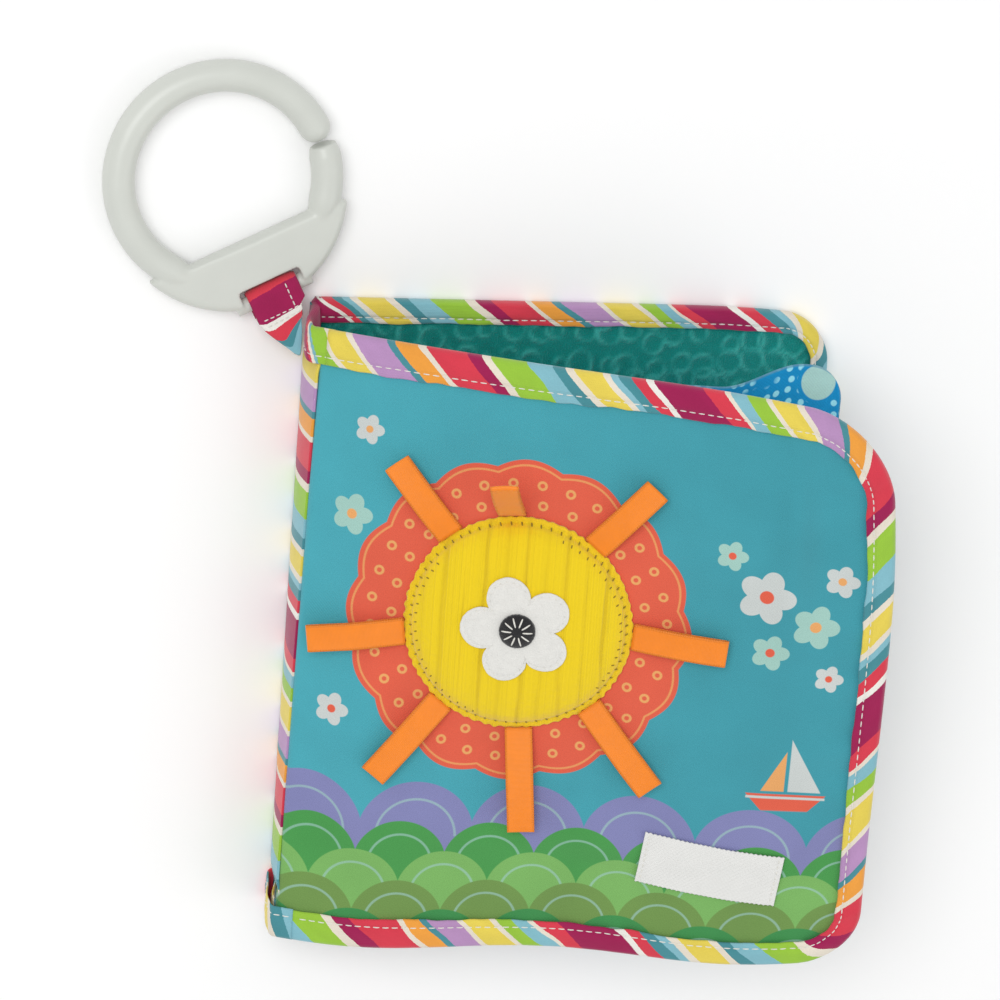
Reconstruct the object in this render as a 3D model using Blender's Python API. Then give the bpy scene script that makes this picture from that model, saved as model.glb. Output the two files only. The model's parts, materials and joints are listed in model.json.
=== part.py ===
"""Crinkle cloth book: two padded covers and one leaf on a striped spine, with a link ring on a strap.

Run with: blender --background --python part.py
The book lies on its back cover. +X runs from the spine to the fore edge, +Y to the head, +Z up.
The origin is on the outer face of the back cover. All sizes are in metres, all turns in degrees.
"""

import math

import bmesh
import bpy
from mathutils import Matrix, Vector

# Covers
BACK_WIDTH = 0.1410
FRONT_WIDTH = 0.1505
COVER_HEIGHT = 0.1640
FRONT_HEIGHT = 0.1620
BACK_SHIFT_Y = 0.0030
SPINE_X = -0.0725
CORNER_RADIUS = 0.0130
HEAD_CORNER_RADIUS = 0.0240
TAIL_CORNER_RADIUS = 0.0160
HEAD_SAG = 0.0065
TAIL_WAVE = 0.0024
TAIL_WAVE_LENGTH = 0.1080
TAIL_WAVE_START = 0.2
TAIL_WAVE_FADE = 0.6
FRONT_TAIL_SLOPE = 12.5
FRONT_HEAD_SLOPE = 18.5
FRONT_CROWN = 0.0012
FRONT_SPINE_DROP = 0.0001

# Layers of a padded cover
CLOTH = 0.0008
PLUSH = 0.0016
LINING = 0.0010
FILM = 0.0004
WADDING = 0.0033
LAYER_GAP = 0.0004
EDGE_GAP = 0.0004
CROWN_WIDTH = 0.0340
SPINE_CROWN_WIDTH = 0.0150
INNER_INSET = 0.0230
INNER_CORNER_RADIUS = 0.0260

# Striped binding tape
TAPE = 0.0008
TAPE_FACE = 0.0085
TAPE_GAP = 0.0003
TAPE_BULGE = 0.0009
TAPE_SHOULDER = 0.75
TAPE_START = 0.0028
TAPE_MITRE = 0.0022

# Spine
PAGE_ROOM = 0.0024
SPINE_CLOTH = 0.0008
SPINE_BULGE = 0.0010
SPINE_LINING = 0.0006
SPINE_CAP = 0.0006
HINGE_GAP = 0.0003
HINGE_ROOM = 0.0007
LINING_SETBACK = 0.0024
SEAM_RIDGE = 0.0015
SEAM_RIDGE_HALF = 0.0005

# Leaf
LEAF_WIDTH = 0.1340
LEAF_HEIGHT = 0.1480
LEAF_SHIFT_Y = -0.0015
LEAF_CORNER_RADIUS = 0.0140
LEAF_CORNER_POP = 0.0050
LEAF_POP_START = 0.0950
LEAF_POP_LENGTH = 0.0250
LEAF_FACE = 0.0007
LEAF_SLACK = 0.0004
LEAF_TAIL_SLOPE = 6.5
LEAF_HEAD_SLOPE = 9.5
LEAF_ROOT_GAP = 0.0008
LEAF_FILM_INSET = 0.0100

# Round patch and what is sewn on it
PATCH_RADIUS = 0.0290
PATCH_S = 0.0565
PATCH_Y = 0.0128
PATCH_DOME = 0.0042
PATCH_CLOTH = 0.0009
PATCH_RIB = 0.0005
PATCH_RIB_PITCH = 0.0064
FILLING_INSET = 0.0035
FELT = 0.0008
FELT_GAP = 0.0003
BLOSSOM_RADIUS = 0.0145
BLOSSOM_NOTCH = 0.0042
BLOSSOM_PETALS = 5
BUTTON_RADIUS = 0.0046
BUTTON_DOME = 0.0012

# Ribbon tabs
RIBBON_LENGTH = 0.0255
RIBBON_WIDTH = 0.0070
RIBBON_THICKNESS = 0.0012
RIBBON_ARCH = 0.0008
RIBBON_GAP = 0.0003
RIBBON_TURNS = (97, 130, 189, 231, 274, 312, 359, 52)
RIBBON_REST_LIFTS = (58, 5, 5, 5, 5, 5, 5, 5)

# Sewn label
LABEL_WIDTH = 0.0365
LABEL_HEIGHT = 0.0152
LABEL_THICKNESS = 0.0006
LABEL_GAP = 0.0005
LABEL_FORE_MARGIN = 0.0400
LABEL_TAIL_MARGIN = 0.0265
LABEL_TURN = -6

# Link ring
RING_TURN = -63.3
RING_RADIUS = 0.0263
RING_TUBE = 0.0039
RING_FLOOR_GAP = 0.0001
RING_GAP_TURN = 24
RING_GAP = 0.0010
PLATE_CHORD = 0.0163
PLATE_CHORD_HALF = 0.0215
PLATE_SPAN = 56
PLATE_RADIUS = 0.0318
PLATE_BELLY = 0.0022
PLATE_THICKNESS = 0.0060
PLATE_BEVEL = 0.0012
SLOT_WIDTH = 0.0166
BAR_OFFSET = 0.0320
BAR_RADIUS = 0.0020
BAR_HOLD = 0.0020
CUT_OVERRUN = 0.0020

# Strap
STRAP_WIDTH = 0.0136
STRAP = 0.0010
STRAP_BAR_GAP = 0.0004
STRAP_SLOT_GAP = 0.0004
STRAP_REACH = 0.0138
STRAP_LEAN = 107.6
STRAP_HEAD_MARGIN = 0.0080
STRAP_ROOT_WIDTH = 0.0100
STRAP_ROOT_GAP = 0.0006
STRAP_ROOT_HALF = 0.0013
STRAP_STRAIGHT = 0.0045
STRAP_CORNER_ROOM = 0.0012
STRAP_FLARE = 0.6

# Counts of faces and steps
SHEET_CELLS = (15, 16)
INNER_CELLS = (11, 12)
LEAF_CELLS = (13, 14)
PATCH_CELLS = (36, 12)
SMALL_CELLS = (10, 10)
RUN_STEPS = 11
CORNER_STEPS = 6
RIBBON_STEPS = 8
WRAP_STEPS = 10
SPINE_STEPS = 12
RING_STEP = 8
BEVEL_STEPS = 3
ROUND_STEPS = 4
SMOOTH_ANGLE = 35
RING_SMOOTH_ANGLE = 30

# Heights that follow from the layers
TAPE_INSIDE = TAPE + TAPE_GAP
EDGE_BACK = TAPE_INSIDE + CLOTH + EDGE_GAP
BACK_EDGE_TOP = EDGE_BACK + PLUSH + TAPE_GAP + TAPE
BACK_MIDDLE = CLOTH + LAYER_GAP + WADDING + LAYER_GAP + FILM + LAYER_GAP
FRONT_EDGE = TAPE_INSIDE + CLOTH + EDGE_GAP + LINING + TAPE_GAP + TAPE
FRONT_UNDER = CLOTH + LAYER_GAP + WADDING + LAYER_GAP + FILM + LAYER_GAP + LINING - FRONT_CROWN
FRONT_AXIS_DROP = FRONT_SPINE_DROP + CLOTH / 2
LEAF_HALF = LEAF_SLACK + FILM / 2 + LAYER_GAP + LEAF_FACE
LEAF_AXIS_Z = BACK_MIDDLE + PLUSH + PAGE_ROOM + LEAF_HALF
FRONT_TOP_Z = LEAF_AXIS_Z + LEAF_HALF + PAGE_ROOM + FRONT_UNDER
FRONT_AXIS_Z = FRONT_TOP_Z - FRONT_AXIS_DROP

# Places along X that follow from the spine's layers
SPINE_INNER_X = SPINE_X - HINGE_GAP
SPINE_OUTER_X = SPINE_INNER_X - SPINE_CLOTH
SPINE_LINING_X = SPINE_X + SPINE_LINING
LEAF_AXIS_X = SPINE_LINING_X + SEAM_RIDGE + SEAM_RIDGE_HALF
SPINE_TOP_Z = FRONT_AXIS_Z - HINGE_ROOM
SPINE_CAP_TOP_Z = SPINE_TOP_Z - TAPE_INSIDE - CLOTH + FRONT_AXIS_DROP

# Places that follow the front cover's edges
LABEL_S = FRONT_WIDTH - LABEL_FORE_MARGIN
LABEL_Y = LABEL_TAIL_MARGIN - FRONT_HEIGHT / 2
STRAP_ROOT_Y = FRONT_HEIGHT / 2 - STRAP_HEAD_MARGIN

# Pieces that turn together
FRONT_PIECES = ["front_cover_panel", "front_cover_wadding", "front_cover_crinkle_film", "front_cover_lining"]
FRONT_PIECES += ["front_cover_binding", "round_patch", "patch_filling", "felt_blossom", "blossom_centre"]
FRONT_PIECES += ["sewn_label"]
RIBBON_NAMES = [f"ribbon_tab_{number + 1}" for number in range(len(RIBBON_TURNS))]
LEAF_PIECES = ["leaf_front_face", "leaf_crinkle_film", "leaf_back_face"]

# Colours, linear
STRIPE_COLOUR = (0.72, 0.12, 0.16, 1)
TEAL_COLOUR = (0.10, 0.38, 0.42, 1)
PLUSH_COLOUR = (0.00, 0.21, 0.19, 1)
LEAF_COLOUR = (0.01, 0.27, 0.52, 1)
WADDING_COLOUR = (0.85, 0.85, 0.82, 1)
FILM_COLOUR = (0.75, 0.78, 0.80, 1)
PATCH_COLOUR = (0.86, 0.62, 0.02, 1)
FELT_COLOUR = (0.88, 0.86, 0.80, 1)
BLACK_COLOUR = (0.02, 0.02, 0.02, 1)
RIBBON_COLOUR = (0.90, 0.23, 0.02, 1)
LABEL_COLOUR = (0.86, 0.86, 0.84, 1)
RING_COLOUR = (0.64, 0.66, 0.62, 1)


def clear_scene():
    for item in list(bpy.data.objects):
        bpy.data.objects.remove(item, do_unlink=True)


def material(name, colour, roughness, metallic=0.0):
    """A Principled material, made once and shared by the pieces of that finish."""
    found = bpy.data.materials.get(name)
    if found:
        return found
    made = bpy.data.materials.new(name)
    made.use_nodes = True
    shader = made.node_tree.nodes["Principled BSDF"]
    shader.inputs["Base Color"].default_value = colour
    shader.inputs["Roughness"].default_value = roughness
    shader.inputs["Metallic"].default_value = metallic
    return made


def new_object(name, bm, finish):
    bmesh.ops.recalc_face_normals(bm, faces=bm.faces[:])
    mesh = bpy.data.meshes.new(name)
    bm.to_mesh(mesh)
    bm.free()
    mesh.shade_smooth()
    mesh.set_sharp_from_angle(angle=math.radians(SMOOTH_ANGLE))
    mesh.materials.append(finish)
    made = bpy.data.objects.new(name, mesh)
    bpy.context.scene.collection.objects.link(made)
    return made


def set_origin(item, place):
    """Moves an object's origin to a place and leaves its shape where it is."""
    frame = Matrix.Translation(place)
    item.data.transform(frame.inverted())
    item.matrix_world = frame


def carry(parent, names):
    """Parents pieces to what turns them, and leaves them where they are."""
    bpy.context.view_layer.update()
    for name in names:
        item = bpy.data.objects[name]
        item.parent = parent
        item.matrix_parent_inverse = parent.matrix_world.inverted()


def hinge(name, board):
    """An empty on the line that a board turns about."""
    made = bpy.data.objects.new(name, None)
    made.location = (board.hinge_x, 0, board.hinge_z)
    bpy.context.scene.collection.objects.link(made)
    return made


def ease(share):
    share = min(max(share, 0.0), 1.0)
    return share * share * (3 - 2 * share)


class Board:
    """A cover or leaf as a flat pattern, s from its hinge and q across, laid out along a slope."""

    def __init__(self, hinge, width, height, shift_y, slopes, corners):
        self.hinge_x, self.hinge_z = hinge
        self.width = width
        self.half = height / 2
        self.shift_y = shift_y
        self.tail_slope, self.head_slope = slopes
        self.tail_corner, self.head_corner = corners
        self.head_sag = 0.0
        self.tail_wave = 0.0
        self.corner_pop = 0.0

    def y_at(self, s, q):
        """Where a point of the pattern lies along the spine, with the soft edges' sag and waves."""
        to_head = (q + self.half) / (2 * self.half)
        run = min(max(s / self.width, 0.0), 1.0)
        sag = self.head_sag * (1 - (1 - run) ** 2) * to_head
        wave = math.cos(2 * math.pi * (s / TAIL_WAVE_LENGTH - TAIL_WAVE_START))
        wave *= (1 - TAIL_WAVE_FADE * run) * (1 - to_head)
        pop = self.corner_pop * ease((s - LEAF_POP_START) / LEAF_POP_LENGTH) * to_head
        return self.shift_y + q - sag - self.tail_wave * wave + pop

    def place(self, s, q, n):
        """The point of the pattern at s and q, raised n square to the board."""
        to_head = (q + self.half) / (2 * self.half)
        slope = math.radians(self.tail_slope + (self.head_slope - self.tail_slope) * to_head)
        x = self.hinge_x + s * math.cos(slope) - n * math.sin(slope)
        z = self.hinge_z + s * math.sin(slope) + n * math.cos(slope)
        return Vector((x, self.y_at(s, q), z))

    def axes(self, s, q, turn):
        """A rotation whose X runs along the board at a turn from the fore edge and whose Z stands off it."""
        step = EDGE_GAP
        along = self.place(s + step, q, 0) - self.place(s, q, 0)
        across = self.place(s, q + step, 0) - self.place(s, q, 0)
        normal = along.cross(across).normalized()
        run = along.normalized() * math.cos(turn) + normal.cross(along.normalized()) * math.sin(turn)
        side = normal.cross(run)
        return Matrix((run, side, normal)).transposed()

    def crown(self, s, q, spine_edge=True):
        """From 0 at the bound edges to 1 in the padded middle."""
        share = ease((self.width - s - TAPE_FACE) / CROWN_WIDTH)
        share *= ease((self.half - q - TAPE_FACE) / CROWN_WIDTH)
        share *= ease((self.half + q - TAPE_FACE) / CROWN_WIDTH)
        if spine_edge:
            share *= ease(s / SPINE_CROWN_WIDTH)
        return share

    def pattern(self, inset, spine_start, inner_corner=0.0):
        """Maps a unit square to the pattern's outline, with its fore corners rounded."""
        first = spine_start
        last = self.width - inset
        half_s = (last - first) / 2
        half_q = self.half - inset

        def point(u, v):
            s = u * half_s
            q = v * half_q
            corner = self.head_corner if q > 0 else self.tail_corner
            radius = inner_corner or corner - inset
            over_s = (s - half_s + radius) / radius
            over_q = (abs(q) - half_q + radius) / radius
            if over_s > 0 and over_q > 0:
                s = half_s - radius + radius * over_s * math.sqrt(1 - over_q * over_q / 2)
                q = math.copysign(half_q - radius + radius * over_q * math.sqrt(1 - over_s * over_s / 2), q)
            return first + half_s + s, q

        return point

    def edge_path(self, start):
        """Stations along head, fore edge and tail, each with its inward direction on the pattern."""
        path = []
        straight = self.width - self.head_corner - start
        for step in range(RUN_STEPS):
            path.append((start + straight * step / RUN_STEPS, self.half, 0.0, -1.0))
        path += self.corner_path(self.head_corner, 1)
        low = -self.half + self.tail_corner
        high = self.half - self.head_corner
        for step in range(1, RUN_STEPS):
            path.append((self.width, high + (low - high) * step / RUN_STEPS, -1.0, 0.0))
        path += reversed(self.corner_path(self.tail_corner, -1))
        straight = self.width - self.tail_corner - start
        for step in range(RUN_STEPS - 1, -1, -1):
            path.append((start + straight * step / RUN_STEPS, -self.half, 0.0, 1.0))
        return path

    def corner_path(self, radius, side):
        path = []
        for step in range(CORNER_STEPS + 1):
            turn = math.pi / 2 * (1 - step / CORNER_STEPS)
            across = math.cos(turn)
            up = math.sin(turn)
            s = self.width - radius + radius * across
            q = side * (self.half - radius + radius * up)
            path.append((s, q, -across, -side * up))
        return path


def back_board():
    corners = (CORNER_RADIUS, CORNER_RADIUS)
    return Board((SPINE_X, 0.0), BACK_WIDTH, COVER_HEIGHT, BACK_SHIFT_Y, (0, 0), corners)


def front_board():
    slopes = (FRONT_TAIL_SLOPE, FRONT_HEAD_SLOPE)
    corners = (TAIL_CORNER_RADIUS, HEAD_CORNER_RADIUS)
    board = Board((SPINE_X, FRONT_AXIS_Z), FRONT_WIDTH, FRONT_HEIGHT, 0.0, slopes, corners)
    board.head_sag = HEAD_SAG
    board.tail_wave = TAIL_WAVE
    return board


def leaf_board():
    slopes = (LEAF_TAIL_SLOPE, LEAF_HEAD_SLOPE)
    corners = (LEAF_CORNER_RADIUS, LEAF_CORNER_RADIUS)
    board = Board((LEAF_AXIS_X, LEAF_AXIS_Z), LEAF_WIDTH, LEAF_HEIGHT, LEAF_SHIFT_Y, slopes, corners)
    board.corner_pop = LEAF_CORNER_POP
    return board


def sheet(name, finish, board, pattern, lower, upper, cells):
    """A closed layer of cloth between two height functions on a board's pattern."""
    bm = bmesh.new()
    bmesh.ops.create_grid(bm, x_segments=cells[0], y_segments=cells[1], size=1)
    under = bm.verts[:]
    raised = bmesh.ops.extrude_face_region(bm, geom=bm.faces[:])
    over = [item for item in raised["geom"] if isinstance(item, bmesh.types.BMVert)]
    for verts, height in ((under, lower), (over, upper)):
        for vert in verts:
            s, q = pattern(vert.co.x, vert.co.y)
            vert.co = board.place(s, q, height(s, q))
    return new_object(name, bm, finish)


def round_pattern(centre_s, centre_q, outline):
    """Maps a unit square to a round outline whose radius is a function of its turn."""

    def point(u, v):
        x = u * math.sqrt(1 - v * v / 2)
        y = v * math.sqrt(1 - u * u / 2)
        radius = outline(math.atan2(y, x))
        return centre_s + x * radius, centre_q + y * radius

    return point


def back_under(board):
    """Height of the back cover's outer face: flat on the floor, turned up under the tape."""
    return lambda s, q: TAPE_INSIDE * (1 - board.crown(s, q, False))


def back_over(board):
    """Height of the underside of the plush."""
    return lambda s, q: EDGE_BACK + (BACK_MIDDLE - EDGE_BACK) * board.crown(s, q)


def raised(height, amount):
    return lambda s, q: height(s, q) + amount


def make_back_cover(board):
    cloth = material("printed_cloth", TEAL_COLOUR, 0.85)
    plush = material("embossed_plush", PLUSH_COLOUR, 0.95)
    under = back_under(board)
    over = back_over(board)
    pattern = board.pattern(0, HINGE_GAP)
    sheet("back_cover_outer", cloth, board, pattern, under, raised(under, CLOTH), SHEET_CELLS)
    sheet("back_cover_plush", plush, board, pattern, over, raised(over, PLUSH), SHEET_CELLS)
    film_top = raised(over, -LAYER_GAP)
    film_under = raised(over, -LAYER_GAP - FILM)
    film_pattern = board.pattern(INNER_INSET, INNER_INSET, INNER_CORNER_RADIUS)
    film = material("crinkle_film", FILM_COLOUR, 0.3)
    sheet("back_cover_crinkle_film", film, board, film_pattern, film_under, film_top, INNER_CELLS)
    wadding_under = raised(under, CLOTH + LAYER_GAP)
    wadding_top = raised(film_under, -LAYER_GAP)
    wadding_pattern = board.pattern(INNER_INSET, INNER_INSET, INNER_CORNER_RADIUS)
    fill = material("wadding", WADDING_COLOUR, 1.0)
    sheet("back_cover_wadding", fill, board, wadding_pattern, wadding_under, wadding_top, INNER_CELLS)


def panel_under(board):
    """Height of the underside of the front panel, below the board's hinge plane at the edges."""

    def height(s, q):
        edge = ease(s / SPINE_CROWN_WIDTH)
        bound = -TAPE_INSIDE - CLOTH + FRONT_AXIS_DROP
        free = -CLOTH / 2
        side = ease((TAPE_FACE + CROWN_WIDTH - min(board.half - q, board.half + q)) / CROWN_WIDTH)
        low = free + (bound - free) * max(edge, side)
        top = FRONT_CROWN - CLOTH + FRONT_AXIS_DROP
        return low + (top - low) * board.crown(s, q)

    return height


def lining_over(board):
    """Height of the upper side of the front cover's lining."""
    bound = -TAPE_INSIDE - CLOTH - EDGE_GAP + FRONT_AXIS_DROP
    middle = -FRONT_UNDER + LINING + FRONT_AXIS_DROP
    return lambda s, q: bound + (middle - bound) * board.crown(s, q)


def make_front_cover(board):
    cloth = material("printed_cloth", TEAL_COLOUR, 0.85)
    under = panel_under(board)
    over = lining_over(board)
    panel_pattern = board.pattern(0, HINGE_GAP)
    sheet("front_cover_panel", cloth, board, panel_pattern, under, raised(under, CLOTH), SHEET_CELLS)
    lining_pattern = board.pattern(0, LINING_SETBACK)
    lining = material("inner_cloth", TEAL_COLOUR, 0.85)
    sheet("front_cover_lining", lining, board, lining_pattern, raised(over, -LINING), over, SHEET_CELLS)
    film_under = raised(over, LAYER_GAP)
    film_pattern = board.pattern(INNER_INSET, INNER_INSET, INNER_CORNER_RADIUS)
    film = material("crinkle_film", FILM_COLOUR, 0.3)
    film_top = raised(film_under, FILM)
    sheet("front_cover_crinkle_film", film, board, film_pattern, film_under, film_top, INNER_CELLS)
    wadding_pattern = board.pattern(INNER_INSET, INNER_INSET, INNER_CORNER_RADIUS)
    fill = material("wadding", WADDING_COLOUR, 1.0)
    wadding_under = raised(film_top, LAYER_GAP)
    wadding_top = raised(under, -LAYER_GAP)
    sheet("front_cover_wadding", fill, board, wadding_pattern, wadding_under, wadding_top, INNER_CELLS)


def tape_profile(low, high):
    """Section of the folded tape: inward distance and height, outer side first, then the channel."""
    middle = (low + high) / 2
    bulge = TAPE_GAP + TAPE + TAPE_BULGE
    inner_bulge = TAPE_GAP + TAPE_BULGE
    shoulder = bulge * TAPE_SHOULDER
    outer = [(TAPE_FACE, high), (0.0, high), (-shoulder, (high + middle) / 2), (-bulge, middle)]
    outer += [(-shoulder, (low + middle) / 2), (0.0, low), (TAPE_FACE, low)]
    channel = [(TAPE_FACE, low + TAPE), (0.0, low + TAPE), (-inner_bulge, middle)]
    channel += [(0.0, high - TAPE), (TAPE_FACE, high - TAPE)]
    return outer + channel


def make_binding(name, board, low, high, start, mitre):
    """The folded tape swept round head, fore edge and tail, its ends cut back below the hinge."""
    bm = bmesh.new()
    profile = tape_profile(low, high)
    path = board.edge_path(start)
    rings = []
    for index, (s, q, in_s, in_q) in enumerate(path):
        ring = []
        at_end = index in (0, len(path) - 1)
        for inward, height in profile:
            slide = mitre * (high - height) / (high - low) if at_end else 0.0
            ring.append(bm.verts.new(board.place(s + in_s * inward + slide, q + in_q * inward, height)))
        rings.append(ring)
    count = len(profile)
    for first, second in zip(rings, rings[1:]):
        for index in range(count):
            following = (index + 1) % count
            bm.faces.new((first[index], first[following], second[following], second[index]))
    bm.faces.new(rings[0])
    bm.faces.new(rings[-1])
    return new_object(name, bm, material("striped_tape", STRIPE_COLOUR, 0.8))


def box_object(name, low, high, finish):
    """A block between two corners."""
    bm = bmesh.new()
    bmesh.ops.create_cube(bm, size=1)
    size = Vector(high) - Vector(low)
    middle = (Vector(high) + Vector(low)) / 2
    for vert in bm.verts:
        vert.co = Vector((vert.co.x * size.x, vert.co.y * size.y, vert.co.z * size.z)) + middle
    return new_object(name, bm, finish)


def outline_prism(name, outline, low_y, high_y, finish):
    """A closed outline of (x, z) points drawn out along Y."""
    bm = bmesh.new()
    face = bm.faces.new([bm.verts.new((x, low_y, z)) for x, z in outline])
    drawn = bmesh.ops.extrude_face_region(bm, geom=[face])
    for item in drawn["geom"]:
        if isinstance(item, bmesh.types.BMVert):
            item.co.y = high_y
    return new_object(name, bm, finish)


def spine_ends(inset):
    """Low and high Y of the spine, short of the back cover's by an inset."""
    return BACK_SHIFT_Y - COVER_HEIGHT / 2 + inset, FRONT_HEIGHT / 2 + BACK_SHIFT_Y / 2 - inset


def make_spine():
    """The striped strip up the spine, its lining with the leaf's seam ridge, and a cap at each end."""
    low_z = TAPE_INSIDE
    outline = [(SPINE_INNER_X, low_z), (SPINE_OUTER_X, low_z)]
    for step in range(1, SPINE_STEPS):
        share = step / SPINE_STEPS
        bow = SPINE_BULGE * math.sin(math.pi * share)
        outline.append((SPINE_OUTER_X - bow, low_z + (SPINE_TOP_Z - low_z) * share))
    outline += [(SPINE_OUTER_X, SPINE_TOP_Z), (SPINE_INNER_X, SPINE_TOP_Z)]
    for step in range(SPINE_STEPS - 1, 0, -1):
        share = step / SPINE_STEPS
        bow = SPINE_BULGE * math.sin(math.pi * share)
        outline.append((SPINE_INNER_X - bow, low_z + (SPINE_TOP_Z - low_z) * share))
    low_y, high_y = spine_ends(0)
    striped = material("striped_tape", STRIPE_COLOUR, 0.8)
    outline_prism("spine_strip", outline, low_y, high_y, striped)

    lining_low = BACK_MIDDLE + PLUSH + LAYER_GAP
    lining_high = FRONT_TOP_Z - FRONT_UNDER - PAGE_ROOM
    ridge = SEAM_RIDGE_HALF
    lining = [(SPINE_X, lining_low), (SPINE_LINING_X, lining_low), (SPINE_LINING_X, LEAF_AXIS_Z - ridge)]
    lining += [(LEAF_AXIS_X - ridge, LEAF_AXIS_Z - ridge), (LEAF_AXIS_X, LEAF_AXIS_Z)]
    lining += [(LEAF_AXIS_X - ridge, LEAF_AXIS_Z + ridge), (SPINE_LINING_X, LEAF_AXIS_Z + ridge)]
    lining += [(SPINE_LINING_X, lining_high), (SPINE_X, lining_high)]
    inner = material("inner_cloth", TEAL_COLOUR, 0.85)
    outline_prism("spine_lining", lining, low_y + LAYER_GAP, high_y - LAYER_GAP, inner)

    cap_low = BACK_EDGE_TOP + HINGE_GAP
    left = SPINE_OUTER_X - SPINE_BULGE - LAYER_GAP
    for name, edge, side in (("spine_head_cap", high_y, 1), ("spine_tail_cap", low_y, -1)):
        near = edge + side * LAYER_GAP
        corners = [edge - side * TAPE_FACE, near + side * SPINE_CAP]
        low = (left - SPINE_CAP, min(corners), cap_low)
        high = (left, max(corners), SPINE_CAP_TOP_Z)
        cap = box_object(name, low, high, striped)
        fold_low = (left - SPINE_CAP, min(near, near + side * SPINE_CAP), cap_low)
        fold_high = (SPINE_LINING_X, max(near, near + side * SPINE_CAP), SPINE_CAP_TOP_Z)
        join(cap, box_object(name + "_fold", fold_low, fold_high, striped))


def cutter(item):
    item.hide_render = True
    item.display_type = "WIRE"
    return item


def boolean(target, other, operation):
    """Adds or cuts another shape, applies the result and removes the other shape."""
    cutter(other)
    change = target.modifiers.new(operation.lower(), "BOOLEAN")
    change.operation = operation
    change.object = other
    bpy.context.view_layer.update()
    evaluated = target.evaluated_get(bpy.context.evaluated_depsgraph_get())
    mesh = bpy.data.meshes.new_from_object(evaluated)
    target.modifiers.clear()
    target.data = mesh
    bpy.data.objects.remove(other, do_unlink=True)
    return target


def join(target, other):
    return boolean(target, other, "UNION")


def leaf_surface(board, side):
    """Height of one face of the leaf: slack in the middle, its two faces meeting at the edges."""
    closed = LAYER_GAP / 2
    open_middle = LEAF_SLACK + FILM / 2 + LAYER_GAP

    def height(s, q):
        share = ease((board.width - s) / SPINE_CROWN_WIDTH) * ease((board.half - q) / SPINE_CROWN_WIDTH)
        share *= ease((board.half + q) / SPINE_CROWN_WIDTH) * ease(s / SPINE_CROWN_WIDTH)
        return side * (closed + (open_middle - closed) * share)

    return height


def make_leaf(board):
    cloth = material("dotted_cloth", LEAF_COLOUR, 0.85)
    pattern = board.pattern(0, LEAF_ROOT_GAP)
    front = leaf_surface(board, 1)
    back = leaf_surface(board, -1)
    sheet("leaf_front_face", cloth, board, pattern, front, raised(front, LEAF_FACE), LEAF_CELLS)
    sheet("leaf_back_face", cloth, board, pattern, raised(back, -LEAF_FACE), back, LEAF_CELLS)
    film = material("crinkle_film", FILM_COLOUR, 0.3)
    half_film = FILM / 2

    def film_top(s, q):
        return half_film

    def film_under(s, q):
        return -half_film

    film_pattern = board.pattern(LEAF_FILM_INSET, LEAF_FILM_INSET)
    sheet("leaf_crinkle_film", film, board, film_pattern, film_under, film_top, INNER_CELLS)


def patch_dome(s, q, radius, height):
    """Height of a dome that comes down steeply at its rim."""
    share = math.hypot(s - PATCH_S, q - PATCH_Y) / radius
    return height * math.sqrt(max(1 - share * share * share, 0.0))


def make_patch(board):
    """The padded round patch, its filling, and the felt motif sewn on it."""
    panel_top = raised(panel_under(board), CLOTH)
    seat = raised(panel_top, LAYER_GAP)
    filling_radius = PATCH_RADIUS - FILLING_INSET

    def filling_top(s, q):
        return seat(s, q) + CLOTH / 2 + patch_dome(s, q, filling_radius, PATCH_DOME)

    def shell_under(s, q):
        inside = patch_dome(s, q, filling_radius + FILLING_INSET / 2, PATCH_DOME + CLOTH / 2 + LAYER_GAP)
        return seat(s, q) + inside

    def shell_top(s, q):
        rib = 0.5 - 0.5 * math.cos(2 * math.pi * (s - PATCH_S) / PATCH_RIB_PITCH)
        rim = ease((PATCH_RADIUS - math.hypot(s - PATCH_S, q - PATCH_Y)) / FILLING_INSET)
        return shell_under(s, q) + PATCH_CLOTH + PATCH_RIB * rib * rim

    fill = material("wadding", WADDING_COLOUR, 1.0)
    yellow = material("ribbed_plush", PATCH_COLOUR, 0.9)
    felt = material("felt", FELT_COLOUR, 0.95)
    black = material("black_felt", BLACK_COLOUR, 0.9)
    filling_plan = round_pattern(PATCH_S, PATCH_Y, lambda turn: filling_radius)
    sheet("patch_filling", fill, board, filling_plan, seat, filling_top, SMALL_CELLS)
    patch_plan = round_pattern(PATCH_S, PATCH_Y, lambda turn: PATCH_RADIUS)
    sheet("round_patch", yellow, board, patch_plan, shell_under, shell_top, PATCH_CELLS)

    def petals(turn):
        return BLOSSOM_RADIUS - BLOSSOM_NOTCH * (0.5 + 0.5 * math.cos(BLOSSOM_PETALS * turn))

    def felt_under(s, q):
        return shell_under(s, q) + PATCH_CLOTH + PATCH_RIB + FELT_GAP

    def button_top(s, q):
        share = math.hypot(s - PATCH_S, q - PATCH_Y) / BUTTON_RADIUS
        return felt_under(s, q) + FELT + FELT_GAP + FELT / 2 + BUTTON_DOME * (1 - min(share, 1.0) ** 2)

    blossom_plan = round_pattern(PATCH_S, PATCH_Y, petals)
    sheet("felt_blossom", felt, board, blossom_plan, felt_under, raised(felt_under, FELT), SMALL_CELLS)
    button_plan = round_pattern(PATCH_S, PATCH_Y, lambda turn: BUTTON_RADIUS)
    button_under = raised(felt_under, FELT + FELT_GAP)
    sheet("blossom_centre", black, board, button_plan, button_under, button_top, SMALL_CELLS)


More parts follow.
